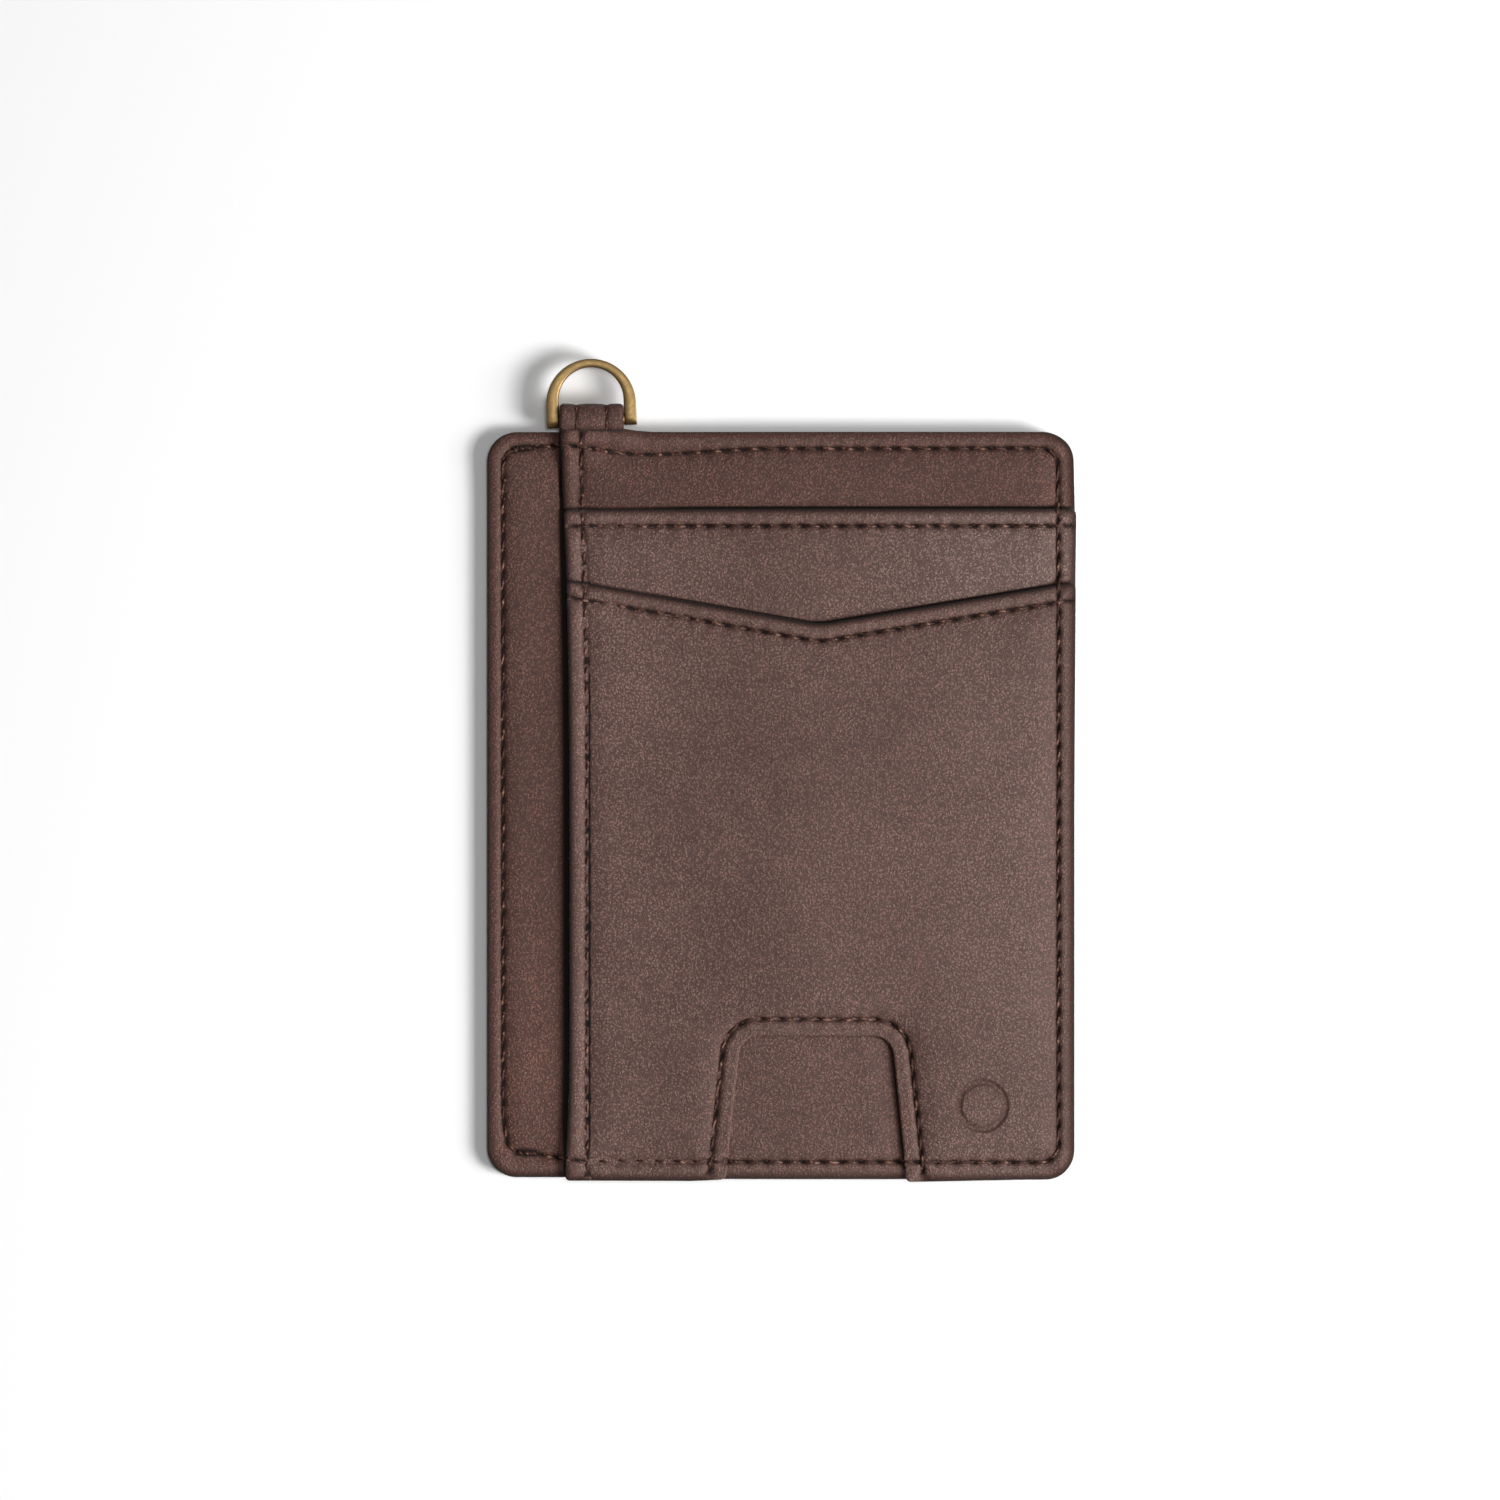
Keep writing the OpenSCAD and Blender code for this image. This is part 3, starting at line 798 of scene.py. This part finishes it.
def lower_lining_outline(inset):
    right_foot, right_top, left_top, left_foot = notch_corners(inset, BOTTOM + inset)
    left, right = PANEL_LEFT + inset, RIGHT - inset
    return subdivide(fillet([
        (left, BOTTOM + inset, 0.4), (*left_foot, 0.4), left_top, right_top, (*right_foot, 0.4),
        (right, BOTTOM + inset, 1.0), (right, mouth_y(right, inset), 0.4), (MOUTH_LOW[0], MOUTH_LOW[1] - inset, 5.0),
        (left, mouth_y(left, inset), 0.4),
    ]))


front_lining = thin_layer("front_lining", "cloth", inner_outline(STEP_RIGHT, TOP))
upper_lining = thin_layer("upper_pocket_lining", "cloth", inner_outline(RIGHT, UPPER_MOUTH))
lower_lining = thin_layer("lower_pocket_lining", "cloth", lower_lining_outline(UNDER_HEM))
front_shield = thin_layer("front_shield", "foil", inner_outline(STEP_RIGHT, TOP, UNDER_LINING))
back_shield = thin_layer("back_shield", "foil", back_outline(2.7), False)
film = thin_layer("id_window", "film", window_outline(FILM_LAP), False, ripple=0.02, seed=4)

# ---- ring


def skin(rings, sides, first=0, flip=False):
    """Four-sided faces between rings of points that follow each other."""
    faces = []
    for i in range(rings - 1):
        for j in range(sides):
            a, b = first + i * sides + j, first + i * sides + (j + 1) % sides
            faces.append((a, a + sides, b + sides, b) if flip else (a, b, b + sides, a + sides))
    return faces


OUT_BEVEL, IN_BEVEL = 0.11, 0.2


def ring_mesh():
    """A bevelled band between an outer and an inner curve, with legs that end in half-rounds, and the bar."""
    outer_r, inner_r = RING_W / 2, RING_W / 2 - RING_LEG
    outer_y, inner_y = RING_RISE - outer_r, RING_RISE - RING_ARCH - inner_r
    stations = []
    for y in -RING_T / 2 * np.sin(np.radians([90, 80, 68, 54, 40, 26, 12, 0])):
        stations.append(((-outer_r, y), (-inner_r, y), math.sqrt(max(RING_T**2 / 4 - y * y, 0))))
    for t in np.linspace(0.15, 1, 5):
        stations.append(((-outer_r, outer_y * t), (-inner_r, inner_y * t), RING_T / 2))
    for a in np.linspace(math.pi, 0, 61)[1:-1]:
        c, s = math.cos(a), math.sin(a)
        stations.append(((outer_r * c, outer_y + outer_r * s), (inner_r * c, inner_y + inner_r * s), RING_T / 2))
    for (ox, oy), (ix, iy), h in reversed(stations[:13]):
        stations.append(((-ox, oy), (-ix, iy), h))
    verts, faces = [], []
    for outer, inner, h in stations:
        outer, inner = np.array(outer), np.array(inner)
        width = np.hypot(*(inner - outer))
        across = (inner - outer) / width
        out_bevel, in_bevel = min(OUT_BEVEL, 0.4 * h), min(IN_BEVEL, 0.5 * h)
        half = [
            (0, h - out_bevel), (0.3 * out_bevel, h - 0.3 * out_bevel), (out_bevel, h), (0.5 * width, h),
            (width - in_bevel, h), (width - 0.4 * in_bevel, h - 0.3 * in_bevel), (width, h - in_bevel),
        ]
        mirrored = [(a, -z) for a, z in reversed(half)]
        section = [mirrored[-1], *half, (width, 0), *mirrored[:-1]]
        verts += [(*(outer + across * a), z) for a, z in section]
    n, m = len(stations), len(section)
    faces += skin(n, m)
    faces.append(tuple(range(m))[::-1])
    faces.append(tuple((n - 1) * m + j for j in range(m)))
    first = len(verts)
    sides, reach = 32, inner_r + 0.5 * RING_LEG
    for x in (-reach, reach):
        for j in range(sides):
            a = 2 * math.pi * j / sides
            verts.append((x, BAR_R * math.cos(a), BAR_R * math.sin(a)))
    faces += skin(2, sides, first)
    faces.append(tuple(first + j for j in range(sides))[::-1])
    faces.append(tuple(first + sides + j for j in range(sides)))
    verts = np.array(verts)
    c, s = math.cos(RING_TILT), math.sin(RING_TILT)
    x, y = verts[:, 0].copy(), verts[:, 1].copy()
    verts[:, 0], verts[:, 1] = BAR[0] + x * c - y * s, BAR[1] + x * s + y * c
    verts[:, 2] += BAR_Z
    obj = to_mesh("d_ring_metal", verts, faces)
    bpy.context.view_layer.objects.active = obj
    obj.select_set(True)
    with bpy.context.temp_override(object=obj, active_object=obj, selected_objects=[obj]):
        bpy.ops.object.shade_auto_smooth(angle=math.radians(15.5))
        for mod in list(obj.modifiers):
            bpy.ops.object.modifier_apply(modifier=mod.name)
    obj.select_set(False)
    return obj


ring = ring_mesh()

# ---- tab

TAIL_T, LOOP_T = 0.2, 1.1
TAIL_Z = 0.115
TAIL_UNDER = 1.3
RIM = [0.9, 0.94, 0.975, 0.995, 1.0]


def tab_path():
    """Centre line of the folded tab in (y, z) from the bar's middle, its outward normal, and its thickness."""
    mid_r = BORE_R + 0.04 + LOOP_T / 2
    upper = [(y, TAIL_Z) for y in (-9.4, -7.0, -4.5, -2.8)] + [(-2.1, 0.14), (-1.7, 0.26), (-1.38, 0.52)]
    upper += [(mid_r * math.cos(a), mid_r * math.sin(a)) for a in np.linspace(math.atan2(1.05, -0.92), 0, 15)]
    line = np.array(upper + [(y, -z) for y, z in reversed(upper[:-1])])
    s = np.linspace(0, lengths_along(line, False)[1][-1], 90)
    line = points_at(line, False, s)
    for _ in range(3):
        line[1:-1] = (line[:-2] + 2 * line[1:-1] + line[2:]) / 4
    thick = TAIL_T + (LOOP_T - TAIL_T) * smooth(-2.0, -0.6, line[:, 0])
    return line, normals_of(line, False), thick, s


TAB_LINE, TAB_NORMAL, TAB_THICK, TAB_S = tab_path()


def tab_mesh():
    """The tab as a skin of sections across it. Its tail stays under the front panel."""
    x = np.concatenate([[-a for a in reversed(RIM)], np.linspace(-0.85, 0.85, 61), RIM]) * TAB_W / 2
    verts, dark, painted_highlight = [], [], []
    n = len(x)
    from_edge = TAB_W / 2 - abs(x)
    k = np.sqrt(1 - (1 - np.minimum(from_edge, 0.5) / 0.5) ** 2)
    ds = abs(abs(x) - TAB_ROW)
    pressed = 0.12 * bell(ds, 0.26) + 0.05 * bell(ds, 0.8)
    # Painted shade along the stitch rows and on the tab's rounded edges.
    lines = np.maximum(0.85 * bell(ds, 0.2), 0.7 * (1 - smooth(0.0, 0.5, from_edge)))
    for (y, z), (ny, nz), t, s in zip(TAB_LINE, TAB_NORMAL, TAB_THICK, TAB_S):
        top = t / 2 * k - pressed * smooth(0.3, 0.9, t)
        top = top + 0.015 * np.sin(x * 2.1 + s * 0.7) * k
        tucked = 1 - smooth(-1.5, -1.15, y)
        for xs, h in ((x, top), (x[1:-1][::-1], -(t / 2 * k)[1:-1][::-1])):
            section = np.column_stack([TAB_X + xs, BAR[1] + y + ny * h, BAR_Z + z + nz * h])
            ceiling = settle(section[:, :2], BAND_TOP - TAIL_UNDER, True) + band_shape(section[:, :2], None)
            ceiling += np.sign(nz * h) * 0.06
            section[:, 2] += tucked * np.minimum(ceiling - section[:, 2], 0)
            verts += section.tolist()
        # Painted shadow where the tab goes under the front panel's edge.
        under = 0.95 * (1 - smooth(-1.0, -0.6, y))
        dark += [*np.maximum(lines, under), *[under] * (n - 2)]
        # Painted highlight beside each row.
        painted_highlight += [*bell(ds - 1.0, 0.5) * 0.6, *[0.0] * (n - 2)]
    m = 2 * n - 2
    faces = skin(len(TAB_LINE), m, flip=True)
    last = (len(TAB_LINE) - 1) * m
    for j in range(1, n - 1):
        a, b, c, d = j - 1 if j > 1 else 0, j, m - j, (m - j + 1) % m
        faces.append((a, b, c, d) if j > 1 else (0, 1, m - 1))
        faces.append((last + d, last + c, last + b, last + a) if j > 1 else (last + m - 1, last + 1, last))
    faces.append((n - 2, n - 1, m - (n - 2)))
    faces.append((last + m - (n - 2), last + n - 1, last + n - 2))
    tint = np.tile((0.86, 0.76, 0.72), (len(verts), 1))
    return to_mesh("ring_tab_leather", verts, faces, {"painted_shade": dark, "painted_highlight": painted_highlight, "tint": tint})


tab = tab_mesh()

# ---- thread

THREAD_R = 0.16
RINGS, SIDES = 13, 8


def stitch_tube(centre, side_way, up_way, turn):
    """One stitch of two-ply twisted thread along centre points, as (verts, faces)."""
    verts = []
    phi = np.linspace(0, 2 * math.pi, SIDES, endpoint=False)
    count = len(centre)
    for i, (c, a, b) in enumerate(zip(centre, side_way, up_way)):
        u = i / (count - 1)
        end = 0.75 + 0.25 * math.sin(math.pi * u) ** 0.5
        r = THREAD_R * end * (1 + 0.2 * np.cos(2 * (phi - 7.5 * u - turn)))
        verts.append(c + (r * np.cos(phi))[:, None] * a + (r * np.sin(phi))[:, None] * b)
    verts = np.vstack([*verts, centre[:1], centre[-1:]])
    faces = [f for a, b, c, d in skin(count, SIDES, flip=True) for f in ((a, b, c), (a, c, d))]
    head, tail = count * SIDES, count * SIDES + 1
    for j in range(SIDES):
        k = (j + 1) % SIDES
        faces.append((head, j, k))
        faces.append((tail, (count - 1) * SIDES + k, (count - 1) * SIDES + j))
    return verts, np.array(faces)


def joined(parts):
    """Many (verts, faces) as one."""
    first = np.cumsum([0] + [len(verts) for verts, _ in parts])
    return np.vstack([verts for verts, _ in parts]), np.vstack([faces + n for (_, faces), n in zip(parts, first)])


def unit(vectors):
    return vectors / np.linalg.norm(vectors, axis=1)[:, None]


def row_point(row, s):
    return points_at(row["line"], row["closed"], np.mod(s, row["length"]) if row["closed"] else s)


def front_level(points):
    """Height of the leather that shows at a point, without its seams."""
    z = settle(points, STRIP_TOP, False) + inner_shape(points, rim_distance(*points.T))
    for loop, level, shape in ((PANEL, BAND_TOP, band_shape), (UPPER, UPPER_TOP, upper_shape),
                               (LOWER, LOWER_TOP, lower_shape)):
        on = inside(points, [loop])
        if on.any():
            z = np.where(on, settle(points, level, True) + shape(points, edge_distance(points, [loop])), z)
    return z


def back_level(points):
    """The same for the back, where the leather faces down."""
    on = inside(points, [back_pocket_outline()])
    d = edge_distance(points, [back_pocket_outline(), window_outline()])
    return np.where(on, pocket_face(points, d), settle(points, back_low, False))


def sew(name, row_name, up=1, extra=()):
    """Stitches of a row from hole to hole, on the front (up is 1) or on the back (up is -1)."""
    row = ROWS[row_name]
    level = front_level if up > 0 else back_level
    rng = np.random.default_rng(len(name) * 7 + len(row_name))
    u = np.linspace(0, 1, RINGS)
    parts = []
    first, pitch = row["start"], row["pitch"]
    runs = [(first + k * pitch, first + (k + 1) * pitch, 0.0) for k in range(row["count"])]
    for start, end, lift in [*runs, *extra]:
        lean, sway = rng.uniform(0.14, 0.24), rng.uniform(-0.04, 0.04)
        s = start + (end - start) * u
        p = row_point(row, s)
        ahead = row_point(row, s + 0.05) - row_point(row, s - 0.05)
        if not row["closed"]:
            ahead[0], ahead[-1] = ahead[1], ahead[-2]
        left = turned_left(ahead)
        p = p + left * (lean * (2 * u - 1) * -1 + sway)[:, None]
        base = level(p)
        base = up * np.maximum(up * base, up * np.linspace(base[0], base[-1], RINGS))
        base[1:-1] = (base[:-2] + 2 * base[1:-1] + base[2:]) / 4
        height = -GROOVE - DIP - 0.45 + (0.54 + rng.uniform(0, 0.07) + lift) * np.sin(math.pi * u) ** 1.5
        centre = np.column_stack([p, base + up * height])
        flat_side = np.column_stack([left, np.zeros(RINGS)])
        up_way = np.cross(unit(np.gradient(centre, axis=0)), flat_side)
        verts, faces = stitch_tube(centre, flat_side, up_way, rng.uniform(0, 3))
        if up < 0:
            verts[:, 2] = np.maximum(verts[:, 2], 0)
        parts.append((verts, faces))
    return to_mesh(name, *joined(parts))


def back_tack(start):
    """A few short stitches over each other, where a row is locked."""
    return [(start + k * 0.8, start + k * 0.8 + 1.1, 0.02) for k in range(3)]


def tab_stitches():
    """Two rows round the loop, in the tab's own curved surface."""
    rng = np.random.default_rng(41)
    u = np.linspace(0, 1, RINGS)
    parts = []
    shown = TAB_S[TAB_LINE[:, 0] > -1.45]
    first, last = shown[0], shown[-1]
    runs = round((last - first) / 2.1)
    across = np.tile([1.0, 0.0, 0.0], (RINGS, 1))
    for side in (-1, 1):
        for k in range(runs):
            s = first + (last - first) * (k + u) / runs
            y, z, ny, nz, t = (np.interp(s, TAB_S, column) for column in (*TAB_LINE.T, *TAB_NORMAL.T, TAB_THICK))
            h = t / 2 - 0.26 - 0.3 + 0.4 * np.sin(math.pi * u) ** 0.6
            x = TAB_X + side * TAB_ROW + rng.uniform(0.06, 0.12) * (2 * u - 1)
            centre = np.column_stack([x, BAR[1] + y + ny * h, BAR_Z + z + nz * h])
            up_way = np.cross(across, unit(np.gradient(centre, axis=0))) * -1
            parts.append(stitch_tube(centre, across, up_way, rng.uniform(0, 3)))
    return to_mesh("tab_stitches", *joined(parts))


perimeter_tacks = back_tack(TACKS[0] - 1.3) + back_tack(TACKS[1] - 1.3)
threads = {
    "perimeter_thread_front": sew("perimeter_front_stitches", "perimeter", extra=perimeter_tacks),
    "perimeter_thread_back": sew("perimeter_back_stitches", "perimeter", up=-1),
    "panel_edge_thread": sew("panel_edge_stitches", "panel"),
    "upper_pocket_thread": sew("upper_mouth_stitches", "upper_mouth"),
    "lower_pocket_thread": sew("lower_mouth_stitches", "lower_mouth"),
    "thumb_notch_thread": sew("thumb_notch_stitches", "notch"),
    "window_thread": sew("window_stitches", "window", up=-1),
    "back_mouth_thread": sew("back_mouth_stitches", "back_mouth", up=-1),
    "tab_thread": tab_stitches(),
}

# ---- materials


class Shader:
    """Short ways to make and link the nodes of one material."""

    def __init__(self, name):
        self.material = bpy.data.materials.new(name)
        self.material.use_nodes = True
        self.tree = self.material.node_tree
        self.tree.nodes.clear()
        self.surface = self.node("ShaderNodeBsdfPrincipled")
        out = self.node("ShaderNodeOutputMaterial")
        self.tree.links.new(self.surface.outputs[0], out.inputs["Surface"])
        self.mm = self.scaled(self.node("ShaderNodeTexCoord").outputs["Object"], 1 / MM)

    def node(self, kind, inputs=None, **settings):
        n = self.tree.nodes.new(kind)
        for key, value in settings.items():
            setattr(n, key, value)
        self.put(n, inputs or {})
        return n

    def put(self, n, inputs):
        for key, value in inputs.items():
            if isinstance(value, bpy.types.NodeSocket):
                self.tree.links.new(value, n.inputs[key])
            else:
                n.inputs[key].default_value = value

    def set(self, **inputs):
        self.put(self.surface, {key.replace("_", " "): value for key, value in inputs.items()})

    def math(self, operation, a, b, clamp=False):
        return self.node("ShaderNodeMath", {0: a, 1: b}, operation=operation, use_clamp=clamp).outputs[0]

    def weighted(self, *parts):
        """The sum of (value, weight) parts."""
        total, *more = [self.math("MULTIPLY", *part) for part in parts]
        for part in more:
            total = self.math("ADD", total, part)
        return total

    def scaled(self, vector, scale):
        return self.node("ShaderNodeVectorMath", {0: vector, "Scale": scale}, operation="SCALE").outputs[0]

    def ramp(self, value, low, high, to_low=0.0, to_high=1.0):
        n = self.node("ShaderNodeMapRange", {
            "Value": value, "From Min": low, "From Max": high, "To Min": to_low, "To Max": to_high,
        }, interpolation_type="SMOOTHSTEP")
        return n.outputs["Result"]

    def noise(self, scale, detail=2.0, roughness=0.5, vector=None):
        n = self.node("ShaderNodeTexNoise", {
            "Vector": vector or self.mm, "Scale": scale, "Detail": detail, "Roughness": roughness})
        return n.outputs["Fac"]

    def cells(self, scale, feature, vector):
        n = self.node("ShaderNodeTexVoronoi", {"Vector": vector, "Scale": scale}, feature=feature)
        return n.outputs["Distance"]

    def mix(self, factor, a, b, blend="MIX"):
        n = self.node("ShaderNodeMix", data_type="RGBA", blend_type=blend)
        self.put(n, {0: factor, 6: a, 7: b})
        return n.outputs[2]

    def attribute(self, name, output="Fac"):
        return self.node("ShaderNodeAttribute", attribute_name=name).outputs[output]

    def bump(self, height, distance_mm):
        n = self.node("ShaderNodeBump", {"Height": height, "Distance": distance_mm * MM})
        self.put(self.surface, {"Normal": n.outputs[0]})


def leather_material():
    s = Shader("leather")
    wobble = s.node("ShaderNodeTexNoise", {"Vector": s.mm, "Scale": 1.1, "Detail": 2.0}).outputs["Color"]
    place = s.node("ShaderNodeVectorMath", {0: s.mm, 1: s.scaled(wobble, 0.55)}, operation="ADD").outputs[0]
    pebble = s.ramp(s.cells(3.1, "F1", place), 0.08, 0.62, 1.0, 0.0)
    small = s.ramp(s.cells(6.2, "DISTANCE_TO_EDGE", place), 0.0, 0.2)
    fine = s.ramp(s.noise(7.4, 3.0, 0.6), 0.25, 0.75)
    grain = s.weighted((pebble, 0.5), (small, 0.15), (fine, 0.35))
    s.bump(grain, 0.1)

    cloud, patch, speckle = s.noise(0.05, 3.0, 0.55), s.noise(0.45, 3.0, 0.6), s.noise(2.6, 2.0, 0.6)
    blend = s.weighted((cloud, 0.45), (patch, 0.3), (speckle, 0.25))
    dark, light = (0.092, 0.038, 0.027, 1), (0.158, 0.077, 0.058, 1)
    colour = s.mix(s.ramp(blend, 0.3, 0.7), dark, light)
    # Painted shade in the grain's hollows and painted highlights on its tops.
    colour = s.mix(s.ramp(grain, 0.15, 0.6, 0.78, 0.0), colour, (0.028, 0.009, 0.006, 1))
    colour = s.mix(s.ramp(grain, 0.55, 1.0, 0.0, 0.56), colour, (0.25, 0.138, 0.108, 1))
    colour = s.mix(1.0, colour, s.attribute("tint", "Color"), "MULTIPLY")
    # Painted shade, brown where it is light and near black where it is strong, and a painted highlight on the bead
    # crests.
    painted_shade, painted_highlight = s.attribute("painted_shade"), s.attribute("painted_highlight")
    colour = s.mix(s.ramp(painted_shade, 0.0, 0.8, 0.0, 0.9), colour, (0.044, 0.0145, 0.0085, 1))
    colour = s.mix(s.ramp(painted_shade, 0.5, 1.0, 0.0, 0.97), colour, (0.006, 0.002, 0.001, 1))
    # Painted highlight on the bead crests, mixed toward a lighter brown.
    colour = s.mix(s.math("MULTIPLY", painted_highlight, 0.2), colour, (0.15, 0.082, 0.062, 1))
    rough = s.ramp(grain, 0.2, 1.0, 0.5, 0.36)
    rough = s.math("ADD", rough, s.ramp(s.attribute("tint"), 0.6, 1.0, 0.2, 0.0))
    rough = s.math("SUBTRACT", rough, s.math("MULTIPLY", painted_highlight, 0.06))
    rough = s.math("ADD", rough, s.math("MULTIPLY", painted_shade, 0.5), clamp=True)
    s.set(Base_Color=colour, Roughness=rough, Specular_IOR_Level=0.42, Sheen_Weight=0.04, Sheen_Roughness=0.45)
    s.surface.inputs["Sheen Tint"].default_value = (0.85, 0.72, 0.68, 1)
    return s.material


def thread_material():
    s = Shader("thread")
    fibre = s.noise(6.0, 3.0, 0.7)
    slow = s.noise(1.6, 2.0)
    colour = s.mix(s.ramp(fibre, 0.4, 0.72), (0.016, 0.0055, 0.003, 1), (0.092, 0.038, 0.025, 1))
    # Light specks along the thread are painted highlights.
    colour = s.mix(s.ramp(slow, 0.52, 0.64, 0.0, 0.6), colour, (0.27, 0.135, 0.095, 1))
    s.set(Base_Color=colour, Roughness=s.ramp(fibre, 0.2, 0.8, 0.55, 0.7), Specular_IOR_Level=0.25)
    s.bump(fibre, 0.03)
    return s.material


def brass_material():
    s = Shader("ring_brass")
    stretched = s.node("ShaderNodeVectorMath", {0: s.mm, 1: (1.2, 14.0, 14.0)}, operation="MULTIPLY").outputs[0]
    brushed = s.noise(1.6, 3.0, 0.6, stretched)
    speck = s.noise(1.4, 3.0)
    colour = s.mix(s.ramp(brushed, 0.3, 0.7), (0.215, 0.134, 0.052, 1), (0.31, 0.21, 0.095, 1))
    s.set(Base_Color=colour, Metallic=1.0, Roughness=s.ramp(speck, 0.3, 0.7, 0.40, 0.50))
    s.bump(brushed, 0.003)
    return s.material


def cloth_material():
    s = Shader("lining")
    weave = []
    for axis in ("X", "Y"):
        n = s.node("ShaderNodeTexWave", {"Vector": s.mm, "Scale": 0.9, "Distortion": 0.6, "Detail": 2.0},
                   wave_type="BANDS", bands_direction=axis)
        weave.append(n.outputs["Fac"])
    threads = s.math("MAXIMUM", *weave)
    colour = s.mix(threads, (0.018, 0.011, 0.009, 1), (0.048, 0.032, 0.026, 1))
    s.set(Base_Color=colour, Roughness=s.ramp(threads, 0.0, 1.0, 0.75, 0.5), Sheen_Weight=0.3)
    s.bump(threads, 0.03)
    return s.material


def foil_material():
    s = Shader("shield")
    crumple = s.noise(0.25, 5.0, 0.6)
    colour = s.mix(s.ramp(crumple, 0.3, 0.7), (0.50, 0.51, 0.53, 1), (0.68, 0.69, 0.71, 1))
    s.set(Base_Color=colour, Metallic=1.0, Roughness=s.ramp(crumple, 0.2, 0.8, 0.22, 0.4))
    s.bump(crumple, 0.15)
    return s.material


def film_material():
    s = Shader("film")
    haze = s.noise(0.12, 4.0, 0.6)
    s.set(Base_Color=s.mix(haze, (0.40, 0.42, 0.43, 1), (0.50, 0.52, 0.53, 1)),
          Roughness=s.ramp(haze, 0.3, 0.7, 0.05, 0.12), Alpha=0.16)
    s.bump(haze, 0.1)
    return s.material


def floor_material():
    s = Shader("floor")
    paper = s.noise(0.02, 2.0)
    s.set(Base_Color=s.mix(paper, (0.87, 0.87, 0.87, 1), (0.88, 0.88, 0.88, 1)), Roughness=0.95)
    s.surface.inputs["Specular IOR Level"].default_value = 0.1
    return s.material


# ---- who is what

LOOKS = [
    ("leather", leather_material(), {
        "back_pocket": back_pocket, "back_panel": back_panel, "inner_panel": inner_panel,
        "front_panel": front_panel, "upper_pocket": upper_pocket, "lower_pocket": lower_pocket, "ring_tab": tab,
    }),
    ("lining", cloth_material(), {
        "front_lining": front_lining, "upper_pocket_lining": upper_lining, "lower_pocket_lining": lower_lining,
    }),
    ("shield", foil_material(), {"back_shield": back_shield, "front_shield": front_shield}),
    ("film", film_material(), {"id_window": film}),
    ("ring_brass", brass_material(), {"d_ring": ring}),
    ("thread", thread_material(), threads),
]
for slot, material, pieces in LOOKS:
    for node, piece in pieces.items():
        piece.data.materials.append(material)
        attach(piece, "d_ring" if node == "d_ring" else "wallet")
        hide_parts(node)

# ---- stage, light and camera

FLOOR_REACH = 3.0
FLOOR_SIGNS = ((-1, -1), (1, -1), (1, 1), (-1, 1))
floor_mesh = bpy.data.meshes.new("floor")
floor_mesh.from_pydata([(a * FLOOR_REACH, b * FLOOR_REACH, 0) for a, b in FLOOR_SIGNS], [], [(0, 1, 2, 3)])
floor = bpy.data.objects.new("floor", floor_mesh)
bpy.context.scene.collection.objects.link(floor)
floor_mesh.materials.append(floor_material())


def area_light(name, azimuth, elevation, distance, size, power):
    """A white square light that looks at the wallet, in degrees, metres and watts. Azimuth runs from +X to +Y."""
    light = bpy.data.lights.new(name, "AREA")
    light.shape = "SQUARE"
    light.size, light.energy = size, power
    obj = bpy.data.objects.new(name, light)
    a, e = math.radians(azimuth), math.radians(elevation)
    way = Vector((math.cos(a) * math.cos(e), math.sin(a) * math.cos(e), math.sin(e)))
    obj.location = way * distance
    obj.rotation_euler = way.to_track_quat("Z", "Y").to_euler()
    bpy.context.scene.collection.objects.link(obj)


area_light("key", -21, 41, 0.8, 0.28, 6.1)
area_light("low_fill", -8, 25, 0.8, 0.45, 5.8)
area_light("overhead", 52, 84.5, 1.15, 0.2, 3.35)

WORLD_STRENGTH = 0.125
world = bpy.data.worlds.new("studio")
world.use_nodes = True
background = world.node_tree.nodes["Background"]
background.inputs["Color"].default_value = (1, 1, 1, 1)
background.inputs["Strength"].default_value = WORLD_STRENGTH
bpy.context.scene.world = world
bpy.context.scene.view_settings.view_transform = "Standard"

# The camera looks straight down from CAMERA_UP metres, and sees FRAME_W mm at the height of the front.
FRAME_W, FRAME_MID = 181.8, (-3.82, 6.73)
CAMERA_UP = 1.0
camera = bpy.data.cameras.new("camera")
camera.sensor_width = 36
camera.lens = camera.sensor_width * CAMERA_UP / (FRAME_W * MM)
camera.clip_start, camera.clip_end = 0.05, 20
camera_obj = bpy.data.objects.new("camera", camera)
camera_obj.location = (FRAME_MID[0] * MM, (FRAME_MID[1] + SHIFT_Y) * MM, CAMERA_UP + LOWER_TOP * MM)
bpy.context.scene.collection.objects.link(camera_obj)
bpy.context.scene.camera = camera_obj
